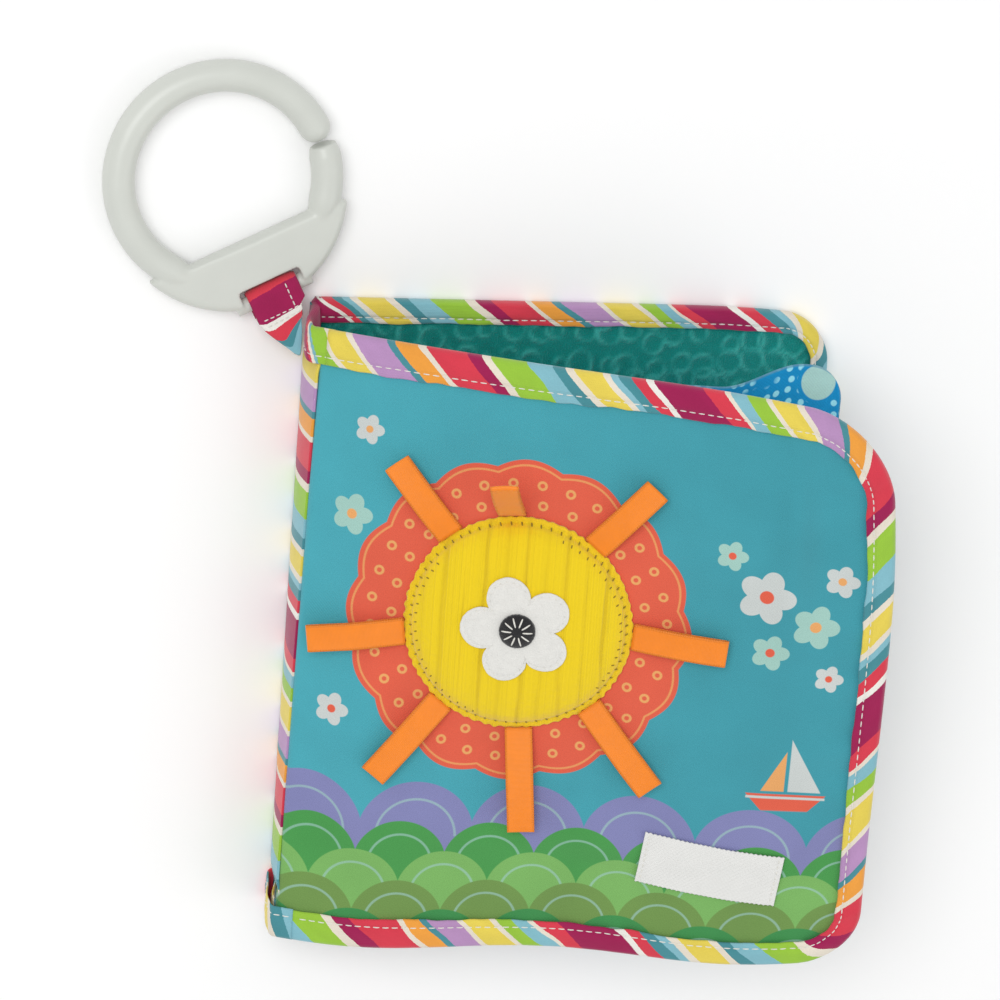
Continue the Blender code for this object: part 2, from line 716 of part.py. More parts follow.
def make_label(board):
    panel_top = raised(panel_under(board), CLOTH)
    turn = math.radians(LABEL_TURN)

    def point(u, v):
        x = u * LABEL_WIDTH / 2
        y = v * LABEL_HEIGHT / 2
        s = LABEL_S + x * math.cos(turn) - y * math.sin(turn)
        return s, LABEL_Y + x * math.sin(turn) + y * math.cos(turn)

    woven = material("woven_label", LABEL_COLOUR, 0.7)
    under = raised(panel_top, LABEL_GAP)
    sheet("sewn_label", woven, board, point, under, raised(under, LABEL_THICKNESS), INNER_CELLS)


def ribbon_mesh(finish):
    """A folded ribbon along +X from its rounded root at the origin, arched a little off the cover."""
    half = RIBBON_THICKNESS / 2
    upper = []
    lower = []
    for step in range(RIBBON_STEPS + 1):
        share = step / RIBBON_STEPS
        lift = RIBBON_ARCH * math.sin(math.pi * share)
        upper.append((RIBBON_LENGTH * share, half + lift))
        lower.append((RIBBON_LENGTH * share, lift - half))
    root = []
    tip = []
    for step in range(1, ROUND_STEPS):
        turn = math.pi * step / ROUND_STEPS
        root.append((-half * math.sin(turn), -half * math.cos(turn)))
        tip.append((RIBBON_LENGTH + half * math.sin(turn), half * math.cos(turn)))
    outline = lower[:1] + root + upper + tip + lower[:0:-1]
    return outline_prism(RIBBON_NAMES[0], outline, -RIBBON_WIDTH / 2, RIBBON_WIDTH / 2, finish)


def make_ribbons(board):
    """Eight ribbon tabs round the patch, each hinged on its root beside the patch's rim."""
    satin = material("satin_ribbon", RIBBON_COLOUR, 0.35)
    panel_top = raised(panel_under(board), CLOTH)
    half = RIBBON_THICKNESS / 2
    reach = PATCH_RADIUS + RIBBON_GAP + half
    first = ribbon_mesh(satin)
    for index, (turn_degrees, lift_degrees) in enumerate(zip(RIBBON_TURNS, RIBBON_REST_LIFTS)):
        turn = math.radians(turn_degrees)
        s = PATCH_S + reach * math.cos(turn)
        q = PATCH_Y + reach * math.sin(turn)
        root = board.place(s, q, panel_top(s, q) + RIBBON_GAP + half)
        made = first if index == 0 else bpy.data.objects.new(RIBBON_NAMES[index], first.data)
        if index:
            bpy.context.scene.collection.objects.link(made)
        axes = board.axes(s, q, turn) @ Matrix.Rotation(-math.radians(lift_degrees), 3, "Y")
        made.matrix_world = Matrix.Translation(root) @ axes.to_4x4()


def floor_direction(turn_degrees):
    turn = math.radians(turn_degrees)
    return Vector((math.cos(turn), math.sin(turn), 0))


def strap_root():
    """The middle of the strap's root, on the outside of the spine."""
    x = SPINE_OUTER_X - SPINE_BULGE - LAYER_GAP - SPINE_CAP - STRAP_ROOT_GAP
    return Vector((x, STRAP_ROOT_Y, (TAPE_INSIDE + SPINE_TOP_Z) / 2))


def bar_centre():
    place = strap_root() + floor_direction(STRAP_LEAN) * STRAP_REACH
    place.z = RING_TUBE + RING_FLOOR_GAP
    return place


def ring_centre():
    return bar_centre() - floor_direction(RING_TURN) * BAR_OFFSET


def make_ring():
    """The link ring: a round tube with a snap gap, a slotted base plate and a bar for the strap."""
    plastic = material("ring_plastic", RING_COLOUR, 0.35)
    centre = ring_centre()
    curve = bpy.data.curves.new("link_ring", "CURVE")
    curve.dimensions = "3D"
    curve.bevel_depth = RING_TUBE
    curve.bevel_resolution = BEVEL_STEPS
    curve.render_resolution_u = 0
    curve.use_fill_caps = True
    first = RING_TURN + PLATE_SPAN / 2
    post_end = RING_GAP_TURN - math.degrees(RING_GAP / RING_RADIUS)
    tip_turn = RING_GAP_TURN + math.degrees(RING_TUBE / RING_RADIUS)
    last = RING_TURN - PLATE_SPAN / 2 + 360
    ring = tube_arc(curve, "link_ring", tip_turn, last)
    post = tube_arc(curve.copy(), "ring_post", first, post_end)
    ring = join(ring, post)
    tip = round_tip(tip_turn)
    ring = join(ring, tip)
    ring = join(ring, base_plate())
    slot_outer = BAR_OFFSET + PLATE_BELLY + CUT_OVERRUN
    slot_inner = BAR_OFFSET - BAR_RADIUS - STRAP_BAR_GAP - STRAP - STRAP_SLOT_GAP
    slot = box_object("slot", (slot_inner, -SLOT_WIDTH / 2, -PLATE_THICKNESS),
                      (slot_outer, SLOT_WIDTH / 2, PLATE_THICKNESS), plastic)
    ring = boolean(ring, slot, "DIFFERENCE")
    ring = join(ring, strap_bar())
    ring.data.materials.clear()
    ring.data.materials.append(plastic)
    ring.data.shade_smooth()
    ring.data.set_sharp_from_angle(angle=math.radians(RING_SMOOTH_ANGLE))
    turn = Matrix.Rotation(math.radians(RING_TURN), 3, "Z")
    ring.data.transform(Matrix.Translation(centre) @ turn.to_4x4())
    set_origin(ring, bar_centre())


def tube_arc(curve, name, first, last):
    """A round tube along an arc of the ring, in a frame whose +X points at the slot."""
    count = max(2, round(abs(last - first) / RING_STEP))
    path = curve.splines.new("POLY")
    path.points.add(count)
    for index in range(count + 1):
        turn = math.radians(first + (last - first) * index / count - RING_TURN)
        place = (RING_RADIUS * math.cos(turn), RING_RADIUS * math.sin(turn), 0, 1)
        path.points[index].co = place
    item = bpy.data.objects.new(name + "_path", curve)
    bpy.context.scene.collection.objects.link(item)
    bpy.context.view_layer.update()
    evaluated = item.evaluated_get(bpy.context.evaluated_depsgraph_get())
    mesh = bpy.data.meshes.new_from_object(evaluated)
    bpy.data.objects.remove(item, do_unlink=True)
    made = bpy.data.objects.new(name, mesh)
    bpy.context.scene.collection.objects.link(made)
    return made


def round_tip(turn_degrees):
    """The round end of the free arm."""
    turn = math.radians(turn_degrees - RING_TURN)
    bm = bmesh.new()
    bmesh.ops.create_uvsphere(bm, u_segments=12, v_segments=8, radius=RING_TUBE)
    place = Matrix.Translation((RING_RADIUS * math.cos(turn), RING_RADIUS * math.sin(turn), 0))
    bmesh.ops.transform(bm, matrix=place, verts=bm.verts[:])
    return new_object("arm_tip", bm, material("ring_plastic", RING_COLOUR, 0.35))


def base_plate():
    """The flat base between the chord and the outer arc, with rounded edges."""
    outline = [(PLATE_CHORD, PLATE_CHORD_HALF), (PLATE_CHORD, -PLATE_CHORD_HALF)]
    for step in range(SPINE_STEPS + 1):
        share = 2 * step / SPINE_STEPS - 1
        turn = math.radians(PLATE_SPAN * share)
        radius = PLATE_RADIUS + PLATE_BELLY * math.cos(math.pi / 2 * share)
        outline.append((radius * math.cos(turn), radius * math.sin(turn)))
    bm = bmesh.new()
    face = bm.faces.new([bm.verts.new((x, y, -PLATE_THICKNESS / 2)) for x, y in outline])
    drawn = bmesh.ops.extrude_face_region(bm, geom=[face])
    for item in drawn["geom"]:
        if isinstance(item, bmesh.types.BMVert):
            item.co.z = PLATE_THICKNESS / 2
    rims = [edge for edge in bm.edges if abs(edge.verts[0].co.z - edge.verts[1].co.z) < PLATE_BEVEL]
    bmesh.ops.bevel(bm, geom=rims, offset=PLATE_BEVEL, segments=2, affect="EDGES", profile=0.5)
    return new_object("base_plate", bm, material("ring_plastic", RING_COLOUR, 0.35))


def strap_bar():
    """The round bar that closes the slot."""
    bm = bmesh.new()
    length = SLOT_WIDTH + 2 * BAR_HOLD
    bmesh.ops.create_cone(bm, cap_ends=True, segments=16, radius1=BAR_RADIUS, radius2=BAR_RADIUS, depth=length)
    place = Matrix.Translation((BAR_OFFSET, 0, 0)) @ Matrix.Rotation(math.pi / 2, 4, "X")
    bmesh.ops.transform(bm, matrix=place, verts=bm.verts[:])
    return new_object("strap_bar", bm, material("ring_plastic", RING_COLOUR, 0.35))


def make_strap():
    """A folded strap: from its flattened root on the spine, round the ring's bar and back."""
    root = strap_root()
    bar = bar_centre()
    run = -floor_direction(RING_TURN)
    side = Vector((0, 0, 1)).cross(run)
    reach = STRAP_REACH
    corner_y = spine_ends(0)[1] + LAYER_GAP + SPINE_CAP + STRAP_CORNER_ROOM
    outer_radius = BAR_RADIUS + STRAP_BAR_GAP + STRAP

    def station(along, width_share, z):
        """A point of the strap: square to the bar near it, drawn in to the spine at the root."""
        square = ease(along / (reach - STRAP_STRAIGHT))
        at_bar = bar + run * (along - reach) + side * (STRAP_WIDTH / 2 * width_share)
        at_root = Vector((root.x, root.y - width_share * STRAP_ROOT_WIDTH / 2, 0)) + run * along
        place = at_root.lerp(at_bar, square)
        beside_spine = root.x + STRAP_FLARE * max(place.y - corner_y, 0.0)
        return Vector((min(place.x, beside_spine), place.y, z))

    def straight_height(along, upper, depth):
        """Height of the strap's lower or upper run, a depth in from its outer face."""
        at_root = root.z + upper * STRAP_ROOT_HALF
        at_bar = bar.z + upper * outer_radius
        return at_root + (at_bar - at_root) * ease(along / reach) - upper * depth

    def loop(depth, start):
        """Points along the strap, root to bar on the lower side and back on the upper."""
        stations = [start + (reach - start) * step / WRAP_STEPS for step in range(WRAP_STEPS)]
        points = [(along, straight_height(along, -1, depth)) for along in stations]
        radius = outer_radius - depth
        for step in range(WRAP_STEPS + 1):
            turn = math.pi * step / WRAP_STEPS
            points.append((reach + radius * math.sin(turn), bar.z - radius * math.cos(turn)))
        points += [(along, straight_height(along, 1, depth)) for along in reversed(stations)]
        return points

    outer = loop(0.0, 0.0)
    inner = loop(STRAP, STRAP_STRAIGHT)
    bm = bmesh.new()
    rings = []
    for points, width_share in ((outer, 1), (outer, -1), (inner, -1), (inner, 1)):
        rings.append([bm.verts.new(station(along, width_share, z)) for along, z in points])
    count = len(outer)
    for first, second in zip(rings, rings[1:] + rings[:1]):
        for index in range(count):
            following = (index + 1) % count
            bm.faces.new((first[index], first[following], second[following], second[index]))
    strap = new_object("strap_loop", bm, material("striped_tape", STRIPE_COLOUR, 0.8))
    set_origin(strap, root)


def main():
    clear_scene()
    back = back_board()
    front = front_board()
    leaf = leaf_board()
    make_back_cover(back)
    make_binding("back_cover_binding", back, 0.0, BACK_EDGE_TOP, TAPE_START, 0.0)
    make_spine()
    make_leaf(leaf)
    make_front_cover(front)
    front_high = FRONT_AXIS_DROP
    make_binding("front_cover_binding", front, front_high - FRONT_EDGE, front_high, HINGE_ROOM, TAPE_MITRE)
    make_patch(front)
    make_label(front)
    make_ribbons(front)
    make_ring()
    make_strap()
    carry(hinge("front_cover_hinge", front), FRONT_PIECES + RIBBON_NAMES)
    carry(hinge("leaf_hinge", leaf), LEAF_PIECES)
    carry(bpy.data.objects["strap_loop"], ["link_ring"])


main()
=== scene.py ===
"""Crinkle cloth book: striped tape round printed covers, a padded patch, a leaf and a link ring.

Run as a script in Blender. Metres, +Z up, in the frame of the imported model.
"""

import itertools
import json
import math

import bmesh
import bpy
import numpy as np
from bpy.props import FloatProperty, FloatVectorProperty, IntProperty, PointerProperty
from mathutils import Matrix, Vector, noise


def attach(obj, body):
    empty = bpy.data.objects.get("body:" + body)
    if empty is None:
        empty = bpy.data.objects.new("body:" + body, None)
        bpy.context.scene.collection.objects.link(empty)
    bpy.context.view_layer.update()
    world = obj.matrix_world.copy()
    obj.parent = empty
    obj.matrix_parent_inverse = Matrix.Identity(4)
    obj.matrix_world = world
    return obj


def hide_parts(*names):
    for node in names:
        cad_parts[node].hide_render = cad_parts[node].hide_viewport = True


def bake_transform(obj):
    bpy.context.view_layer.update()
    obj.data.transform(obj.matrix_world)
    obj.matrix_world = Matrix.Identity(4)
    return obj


bl_info = {
    "name": "Crinkle Cloth Book",
    "version": (1, 0, 0),
    "blender": (4, 5, 0),
    "location": "View3D > Sidebar > Cloth Book",
    "description": "Dresses the packed cloth book with cloth, plush, tape, ribbons and a plastic link ring",
    "category": "Object",
}

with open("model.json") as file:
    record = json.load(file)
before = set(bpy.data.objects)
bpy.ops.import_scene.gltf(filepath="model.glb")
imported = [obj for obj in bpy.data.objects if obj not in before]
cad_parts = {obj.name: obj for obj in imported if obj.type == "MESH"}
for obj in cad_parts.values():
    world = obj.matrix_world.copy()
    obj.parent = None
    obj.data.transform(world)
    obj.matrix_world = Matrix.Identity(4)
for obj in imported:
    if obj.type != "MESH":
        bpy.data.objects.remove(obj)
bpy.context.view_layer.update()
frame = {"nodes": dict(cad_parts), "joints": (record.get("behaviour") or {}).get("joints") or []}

# Where the hinges stand, from the frame
JOINT_PLACES = {joint["name"]: joint["pos_m"] for joint in frame["joints"]}
FRONT_HINGE_X, _, FRONT_HINGE_Z = JOINT_PLACES["front_cover_turn"]
LEAF_HINGE_X, _, LEAF_HINGE_Z = JOINT_PLACES["leaf_turn"]

# Covers
BACK_WIDTH = 0.1410
FRONT_WIDTH = 0.1505
BACK_HEIGHT = 0.1640
FRONT_HEIGHT = 0.1620
BACK_SHIFT_Y = 0.0030
BACK_CORNER = 0.0130
HEAD_CORNER = 0.0240
TAIL_CORNER = 0.0160
FRONT_SLOPES = (12.5, 18.5)
LEAF_SLOPES = (6.5, 9.5)
HEAD_SAG = 0.0065
TAIL_WAVE = 0.0024
TAIL_WAVE_LENGTH = 0.108
TAIL_WAVE_START = 0.2
TAIL_WAVE_FADE = 0.6
HEAD_PULL = (0.0042, 0.0034, 0.0360)
TAIL_PULL = (-0.0006, 0.0036, 0.0290)
BACK_PULL = (0.0010, 0.0014, 0.0200)

# Layers of cloth
CLOTH = 0.0008
PLUSH = 0.0016
LINING = 0.0010
FILM = 0.0004
WADDING = 0.0033
LAYER_GAP = 0.0004
EDGE_GAP = 0.0004
CLOTH_INSET = 0.0016
FRONT_CROWN = 0.0012
CROWN_WIDTH = 0.0340
SPINE_CROWN_WIDTH = 0.0150

# Striped tape
TAPE = 0.0008
TAPE_FACE = 0.0085
TAPE_GAP = 0.0003

# Spine
SPINE_WIDTH_SCALE = 0.75
FOLD_HEAD_SHIFT = 0.0014
FOLD_TAIL_SHIFT = -0.0008
FOLD_REACH = 0.0140

# Leaf
LEAF_WIDTH = 0.1340
LEAF_HEIGHT = 0.1480
LEAF_SHIFT_Y = -0.0042
LEAF_CORNER = 0.0085
LEAF_CORNER_POP = 0.0072
LEAF_POP_START = 0.1030
LEAF_POP_LENGTH = 0.0210
LEAF_FACE = 0.0007
LEAF_SLACK = 0.0004
LEAF_ROOT_GAP = 0.0008

# Round patch and ribbons
PATCH_RADIUS = 0.0290
PATCH_S = 0.0565
PATCH_Q = 0.0119
PATCH_DOME = 0.0042
PATCH_CLOTH = 0.0009
FILLING_INSET = 0.0035
BLOSSOM_RADIUS = 0.0145
BLOSSOM_NOTCH = 0.0056
PETAL_ROUNDNESS = 0.7
PETALS = 5
BUTTON_RADIUS = 0.0046
RIBBON_LENGTHS = (0.0250, 0.0226, 0.0240, 0.0256, 0.0270, 0.0262, 0.0234, 0.0216)
RIBBON_WIDTH = 0.0070
RIBBON_THICKNESS = 0.0012
RIBBON_GAP = 0.0003
RIBBON_TURNS = (97, 130, 189, 231, 274, 312, 359, 52)
RIBBON_LIFTS = (58, 5, 5, 5, 5, 5, 5, 5)

# Label
LABEL_WIDTH = 0.0365
LABEL_HEIGHT = 0.0152
LABEL_S = 0.1105
LABEL_Q = -0.0528
LABEL_TURN = -6

# Strap, and the ring's bar that it goes round
STRAP_WIDTH = 0.0136
STRAP = 0.0010
STRAP_REACH = 0.0138
STRAP_ROOT_WIDTH = 0.0100
STRAP_ROOT_HALF = 0.0013
STRAP_STRAIGHT = 0.0045
STRAP_FLARE = 0.6
STRAP_CORNER_Y = 0.0850
STRAP_TUCK_X = 0.0024
STRAP_TUCK_Y = 0.0024
BAR_RADIUS = 0.0020
STRAP_BAR_GAP = 0.0004

# Link ring
RING_TURN = -63.3
RING_RADIUS = 0.0263
RING_TUBE = 0.0041
RING_GAP_TURN = 24
RING_GAP = 0.0010
BAR_OFFSET = 0.0320
PLATE_CHORD = 0.0163
PLATE_CHORD_HALF = 0.0215
PLATE_SPAN = 56
PLATE_ARM_SPAN = 60
PLATE_EDGE_ROUND = 0.0022
TUBE_SINK = 0.66
SINK_START = 55
SINK_LENGTH = 17
POST_END_TAPER = 0.16
PLATE_RADIUS = 0.0318
PLATE_BELLY = 0.0022
PLATE_THICKNESS = 0.0060
SLOT_WIDTH = 0.0166
SLOT_INNER = 0.0278
SLOT_OUTER = 0.0360

# Heights that follow from the layers
TAPE_INSIDE = TAPE + TAPE_GAP
BACK_EDGE = TAPE_INSIDE + CLOTH + EDGE_GAP
BACK_TAPE_TOP = BACK_EDGE + PLUSH + TAPE_INSIDE
BACK_MIDDLE = CLOTH + LAYER_GAP + WADDING + LAYER_GAP + FILM + LAYER_GAP
FRONT_DROP = 0.0005
FRONT_EDGE = TAPE_INSIDE + CLOTH + EDGE_GAP + LINING + TAPE_INSIDE
FRONT_UNDER = CLOTH + LAYER_GAP + WADDING + LAYER_GAP + FILM + LAYER_GAP + LINING - FRONT_CROWN


def screen(red, green, blue):
    """A colour of the screen, 0 to 255, as the linear colour that a shader takes."""
    made = []
    for part in (red / 255, green / 255, blue / 255):
        made.append(part / 12.92 if part <= 0.04045 else ((part + 0.055) / 1.055) ** 2.4)
    return tuple(made)


# Colours of the striped tape in order along it, and the width of each band in millimetres
LIME = screen(150, 195, 60)
CREAM = screen(228, 219, 203)
YELLOW = screen(228, 206, 84)
LILAC = screen(182, 142, 188)
TEAL = screen(70, 140, 150)
ORANGE = screen(236, 158, 62)
RED = screen(214, 58, 76)
MAGENTA = screen(158, 22, 80)
SKY = screen(130, 185, 198)
WHITE = screen(236, 233, 226)
STRIPES = (
    (LIME, 4.5), (CREAM, 1.9), (YELLOW, 8.5), (CREAM, 1.9), (LILAC, 8.2), (TEAL, 2.4), (ORANGE, 6.6),
    (CREAM, 1.9), (RED, 10.1), (MAGENTA, 4.2), (CREAM, 2.9), (LIME, 9.6), (SKY, 6.4), (TEAL, 4.0),
    (CREAM, 2.4), (YELLOW, 7.2), (CREAM, 2.6), (SKY, 2.1), (TEAL, 4.2), (RED, 4.2), (WHITE, 2.1),
    (MAGENTA, 14.3), (RED, 4.5), (CREAM, 1.6), (SKY, 4.5),
)

# Other colours
GROUND = screen(60, 150, 164)
# Ground painted lighter near the spine: painted light that fades to the ground colour
GROUND_PAINTED_LIGHT = screen(70, 164, 178)
CORAL = screen(221, 94, 70)
TAN = screen(228, 164, 100)
MINT = screen(158, 198, 188)
PALE = screen(198, 204, 202)
HILL_LILAC = screen(128, 130, 178)
HILL_GREENS = (screen(70, 150, 75), screen(120, 176, 95), screen(110, 146, 75), screen(60, 140, 76))
PLUSH_TEAL = screen(0, 132, 124)
# Painted highlight on the plush's raised ridges
PLUSH_RIDGE_HIGHLIGHT = screen(70, 186, 176)
LEAF_BLUE = screen(0, 138, 198)
LEAF_DOT = screen(150, 222, 242)
LEAF_PALE_EDGE = screen(84, 150, 176)
LEAF_RING = screen(165, 205, 202)
DISC_YELLOW = screen(240, 208, 28)
DISC_SHADE = screen(200, 166, 28)
DISC_RIM = screen(238, 186, 44)
RIBBON_ORANGE = screen(245, 134, 22)
RING_WHITE = screen(206, 209, 202)
FELT_WHITE = screen(232, 231, 226)
FELT_BLACK = screen(22, 22, 24)
THREAD_WHITE = screen(236, 234, 226)
THREAD_BROWN = screen(150, 126, 20)
LABEL_WHITE = screen(232, 232, 229)
WADDING_WHITE = screen(236, 236, 231)
FILM_GREY = screen(214, 220, 224)
PAGE_GROUND = screen(196, 214, 190)
PAGE_SPOT = screen(106, 170, 150)


# Settings


def length_setting(name, description, default):
    return FloatProperty(name=name, description=description, default=default, unit="LENGTH")


def angle_setting(name, description, degrees):
    turn = math.radians(degrees)
    return FloatProperty(name=name, description=description, default=turn, subtype="ANGLE")


def colour_setting(name, description, value):
    return FloatVectorProperty(
        name=name, description=description, default=value, min=0.0, max=1.0, subtype="COLOR"
    )


class ClothSettings(bpy.types.PropertyGroup):
    """Sizes of the cloth's surface and of the sewing."""

    pucker: length_setting("Pucker", "Height of the puckers beside the tape", 0.00042)
    wave: length_setting("Wave", "Height of the soft waves in the padded covers", 0.00070)
    stitch_pitch: length_setting("Stitch pitch", "From one topstitch to the next", 0.0024)
    stitch_length: length_setting("Stitch length", "What shows of one topstitch", 0.0018)
    thread: length_setting("Thread", "Radius of the sewing thread", 0.00018)
    plush: colour_setting("Plush", "Colour of the embossed plush", PLUSH_TEAL)
    leaf: colour_setting("Leaf", "Ground colour of the dotted leaf", LEAF_BLUE)


class PrintSettings(bpy.types.PropertyGroup):
    """Sizes and colours of the printed design on the front panel."""

    medallion: length_setting("Medallion", "Radius of the scalloped medallion", 0.0440)
    scallops: IntProperty(name="Scallops", description="Scallops round the medallion", default=16, min=3)
    wave_pitch: length_setting("Wave pitch", "Width of one wave at the tail", 0.0230)
    ground: colour_setting("Ground", "Ground colour of the printed cotton", GROUND)
    coral: colour_setting("Coral", "Colour of the medallion and the boat's hull", CORAL)


class PatchSettings(bpy.types.PropertyGroup):
    """Finish of the round patch and what is sewn round it."""

    rib_pitch: length_setting("Rib pitch", "From one rib of the plush to the next", 0.0051)
    rib_depth: length_setting("Rib depth", "Depth of the furrows between the ribs", 0.00026)
    fray: length_setting("Fray", "How far the cut rim of the plush wanders", 0.00030)
    stitch_pitch: length_setting("Stitch pitch", "From one dark stitch to the next", 0.0026)
    plush: colour_setting("Plush", "Colour of the ribbed plush", DISC_YELLOW)
    ribbons: colour_setting("Ribbons", "Colour of the satin ribbon tabs", RIBBON_ORANGE)


class RingSettings(bpy.types.PropertyGroup):
    """Finish of the plastic link ring."""

    voxel: length_setting("Voxel", "Size of the cells that the ring's shape is made from", 0.00042)
    rounding: IntProperty(name="Rounding", description="Passes that round the edges", default=7, min=0)
    plastic: colour_setting("Plastic", "Colour of the ring", RING_WHITE)


class StageSettings(bpy.types.PropertyGroup):
    """The floor, the lights and the camera."""

    distance: length_setting("Camera distance", "From the book's middle to the camera", 1.05)
    head_tilt: angle_setting("Head tilt", "Camera's lean toward the book's head", 17)
    spine_tilt: angle_setting("Spine tilt", "Camera's lean toward the spine", 15)
    roll: angle_setting("Roll", "Turn of the picture", 4.7)
    floor_colour: colour_setting("Floor colour", "Colour of the floor", (0.97, 0.97, 0.97))
    key_light: FloatProperty(name="Key light", description="Power of the large soft light", default=8.4)
    fill_light: FloatProperty(name="Fill light", description="Power of the light that fills", default=3.0)
    sky_light: FloatProperty(name="Sky light", description="Light from all round", default=0.64)


# Formulas


def ease(share):
    share = np.clip(share, 0.0, 1.0)
    return share * share * (3 - 2 * share)


def stacked(*parts):
    """Arrays set side by side as the coordinates of points."""
    return np.stack(np.broadcast_arrays(*parts), axis=-1)


def bell(offset, width):
    """1 on a line and near 0 a few widths away from it."""
    return np.exp(-((offset / width) ** 2))


SEED_STEP = (7.3, -3.1, 1.7)


def soft_noise(a, b, size, seed=0):
    """Smooth noise from about -1 to 1 over two coordinates, at the given size."""
    a, b = np.broadcast_arrays(np.asarray(a, float), np.asarray(b, float))
    x, y, z = (step * seed for step in SEED_STEP)
    flat = [noise.noise(Vector((i / size + x, j / size + y, z))) for i, j in zip(a.ravel(), b.ravel())]
    return np.array(flat).reshape(a.shape)


def line_noise(a, size, seed):
    """The same over one coordinate."""
    return soft_noise(a, 0 * a, size, seed)


class Board:
    """A cover or the leaf as a flat pattern, s from its hinge and q across, laid out along a slope."""

    def __init__(self, hinge, width, height, shift_y, slopes, corners):
        self.hinge_x, self.hinge_z = hinge
        self.width = width
        self.half = height / 2
        self.shift_y = shift_y
        self.slopes = slopes
        self.tail_corner, self.head_corner = corners
        self.head_sag = 0.0
        self.tail_wave = 0.0
        self.corner_pop = 0.0
        self.pulls = ()

    def to_head(self, q):
        return (q + self.half) / (2 * self.half)

    def y_at(self, s, q):
        run = np.clip(s / self.width, 0.0, 1.0)
        sag = self.head_sag * (1 - (1 - run) ** 2) * self.to_head(q)
        wave = np.cos(2 * math.pi * (s / TAIL_WAVE_LENGTH - TAIL_WAVE_START))
        wave = wave * (1 - TAIL_WAVE_FADE * run) * (1 - self.to_head(q))
        pop = self.corner_pop * ease((s - LEAF_POP_START) / LEAF_POP_LENGTH) * self.to_head(q)
        return self.shift_y + q - sag - self.tail_wave * wave + pop

    def place(self, s, q, n):
        """Points of the pattern at s and q, raised n square to the board, its fore corners drawn in."""
        s, q = self.drawn_in(s, q)
        slope = np.radians(self.slopes[0] + (self.slopes[1] - self.slopes[0]) * self.to_head(q))
        x = self.hinge_x + s * np.cos(slope) - n * np.sin(slope)
        z = self.hinge_z + s * np.sin(slope) + n * np.cos(slope)
        y = self.y_at(s, q)
        return stacked(x, y, z)

    def drawn_in(self, s, q):
        moved_s, moved_q = s, q
        for side, (inward, across, reach) in self.pulls:
            share = bell(np.hypot(s - self.width, q - side * self.half), reach)
            moved_s = moved_s - inward * share
            moved_q = moved_q - side * across * share
        return moved_s, moved_q

    def axes(self, s, q, turn):
        """A rotation whose X runs along the board at a turn from the fore edge and whose Z stands off it."""
        here = self.place(s, q, 0.0)
        along = Vector(self.place(s + EDGE_GAP, q, 0.0) - here).normalized()
        across = Vector(self.place(s, q + EDGE_GAP, 0.0) - here)
        normal = along.cross(across).normalized()
        run = along * math.cos(turn) + normal.cross(along) * math.sin(turn)
        return Matrix((run, normal.cross(run), normal)).transposed()

    def crown(self, s, q, spine_edge=True):
        """From 0 at the bound edges to 1 in the padded middle."""
        share = ease((self.width - s - TAPE_FACE) / CROWN_WIDTH)
        share = share * ease((self.half - q - TAPE_FACE) / CROWN_WIDTH)
        share = share * ease((self.half + q - TAPE_FACE) / CROWN_WIDTH)
        if spine_edge:
            share = share * ease(s / SPINE_CROWN_WIDTH)
        return share

    def pattern(self, rows, columns, inset, start):
        """A grid of points over the pattern's outline, with its fore corners rounded."""
        u, v = np.meshgrid(np.linspace(-1, 1, rows), np.linspace(-1, 1, columns), indexing="ij")
        half_s = (self.width - inset - start) / 2
        half_q = self.half - inset
        s = u * half_s
        q = v * half_q
        radius = np.where(q > 0, self.head_corner, self.tail_corner) - inset
        over_s = (s - half_s + radius) / radius
        over_q = (np.abs(q) - half_q + radius) / radius
        turned = (over_s > 0) & (over_q > 0)
        over_s = np.clip(over_s, 0, 1)
        over_q = np.clip(over_q, 0, 1)
        round_s = half_s - radius + radius * over_s * np.sqrt(1 - over_q**2 / 2)
        round_q = np.sign(q) * (half_q - radius + radius * over_q * np.sqrt(1 - over_s**2 / 2))
        return start + half_s + np.where(turned, round_s, s), np.where(turned, round_q, q)

    def edge_marks(self):
        """Distances along the bound edge at which its five stretches end."""
        head = self.width - self.head_corner
        first_turn = head + math.pi / 2 * self.head_corner
        fore = first_turn + 2 * self.half - self.head_corner - self.tail_corner
        second_turn = fore + math.pi / 2 * self.tail_corner
        return head, first_turn, fore, second_turn, second_turn + self.width - self.tail_corner

    def edge_at(self, along, inward):
        """Where a point is on the pattern: along the bound edge from the spine's head, and in from it."""
        head, first_turn, fore, second_turn, _ = self.edge_marks()
        first = np.clip((along - head) / self.head_corner, 0, math.pi / 2)
        second = np.clip((along - fore) / self.tail_corner, 0, math.pi / 2)
        out_s = np.sin(first + second)
        out_q = np.cos(first + second)
        head_s = np.minimum(along, head) + self.head_corner * np.sin(first)
        tail_s = self.width - self.tail_corner + self.tail_corner * np.cos(second)
        s = np.where(along <= fore, head_s, tail_s - np.maximum(along - second_turn, 0))
        head_q = self.half - self.head_corner + self.head_corner * np.cos(first)
        fore_q = self.half - self.head_corner - (along - first_turn)
        tail_q = self.tail_corner - self.half - self.tail_corner * np.sin(second)
        q = np.where(along <= first_turn, head_q, np.where(along <= fore, fore_q, tail_q))
        return s - out_s * inward, q - out_q * inward

    def corner_share(self, along):
        """1 in the rounded corners, 0 on the straight edges."""
        head, first_turn, fore, second_turn, _ = self.edge_marks()
        reach = self.tail_corner / 2
        first = ease((along - head + reach) / reach) * ease((first_turn + reach - along) / reach)
        second = ease((along - fore + reach) / reach) * ease((second_turn + reach - along) / reach)
        return np.maximum(first, second)


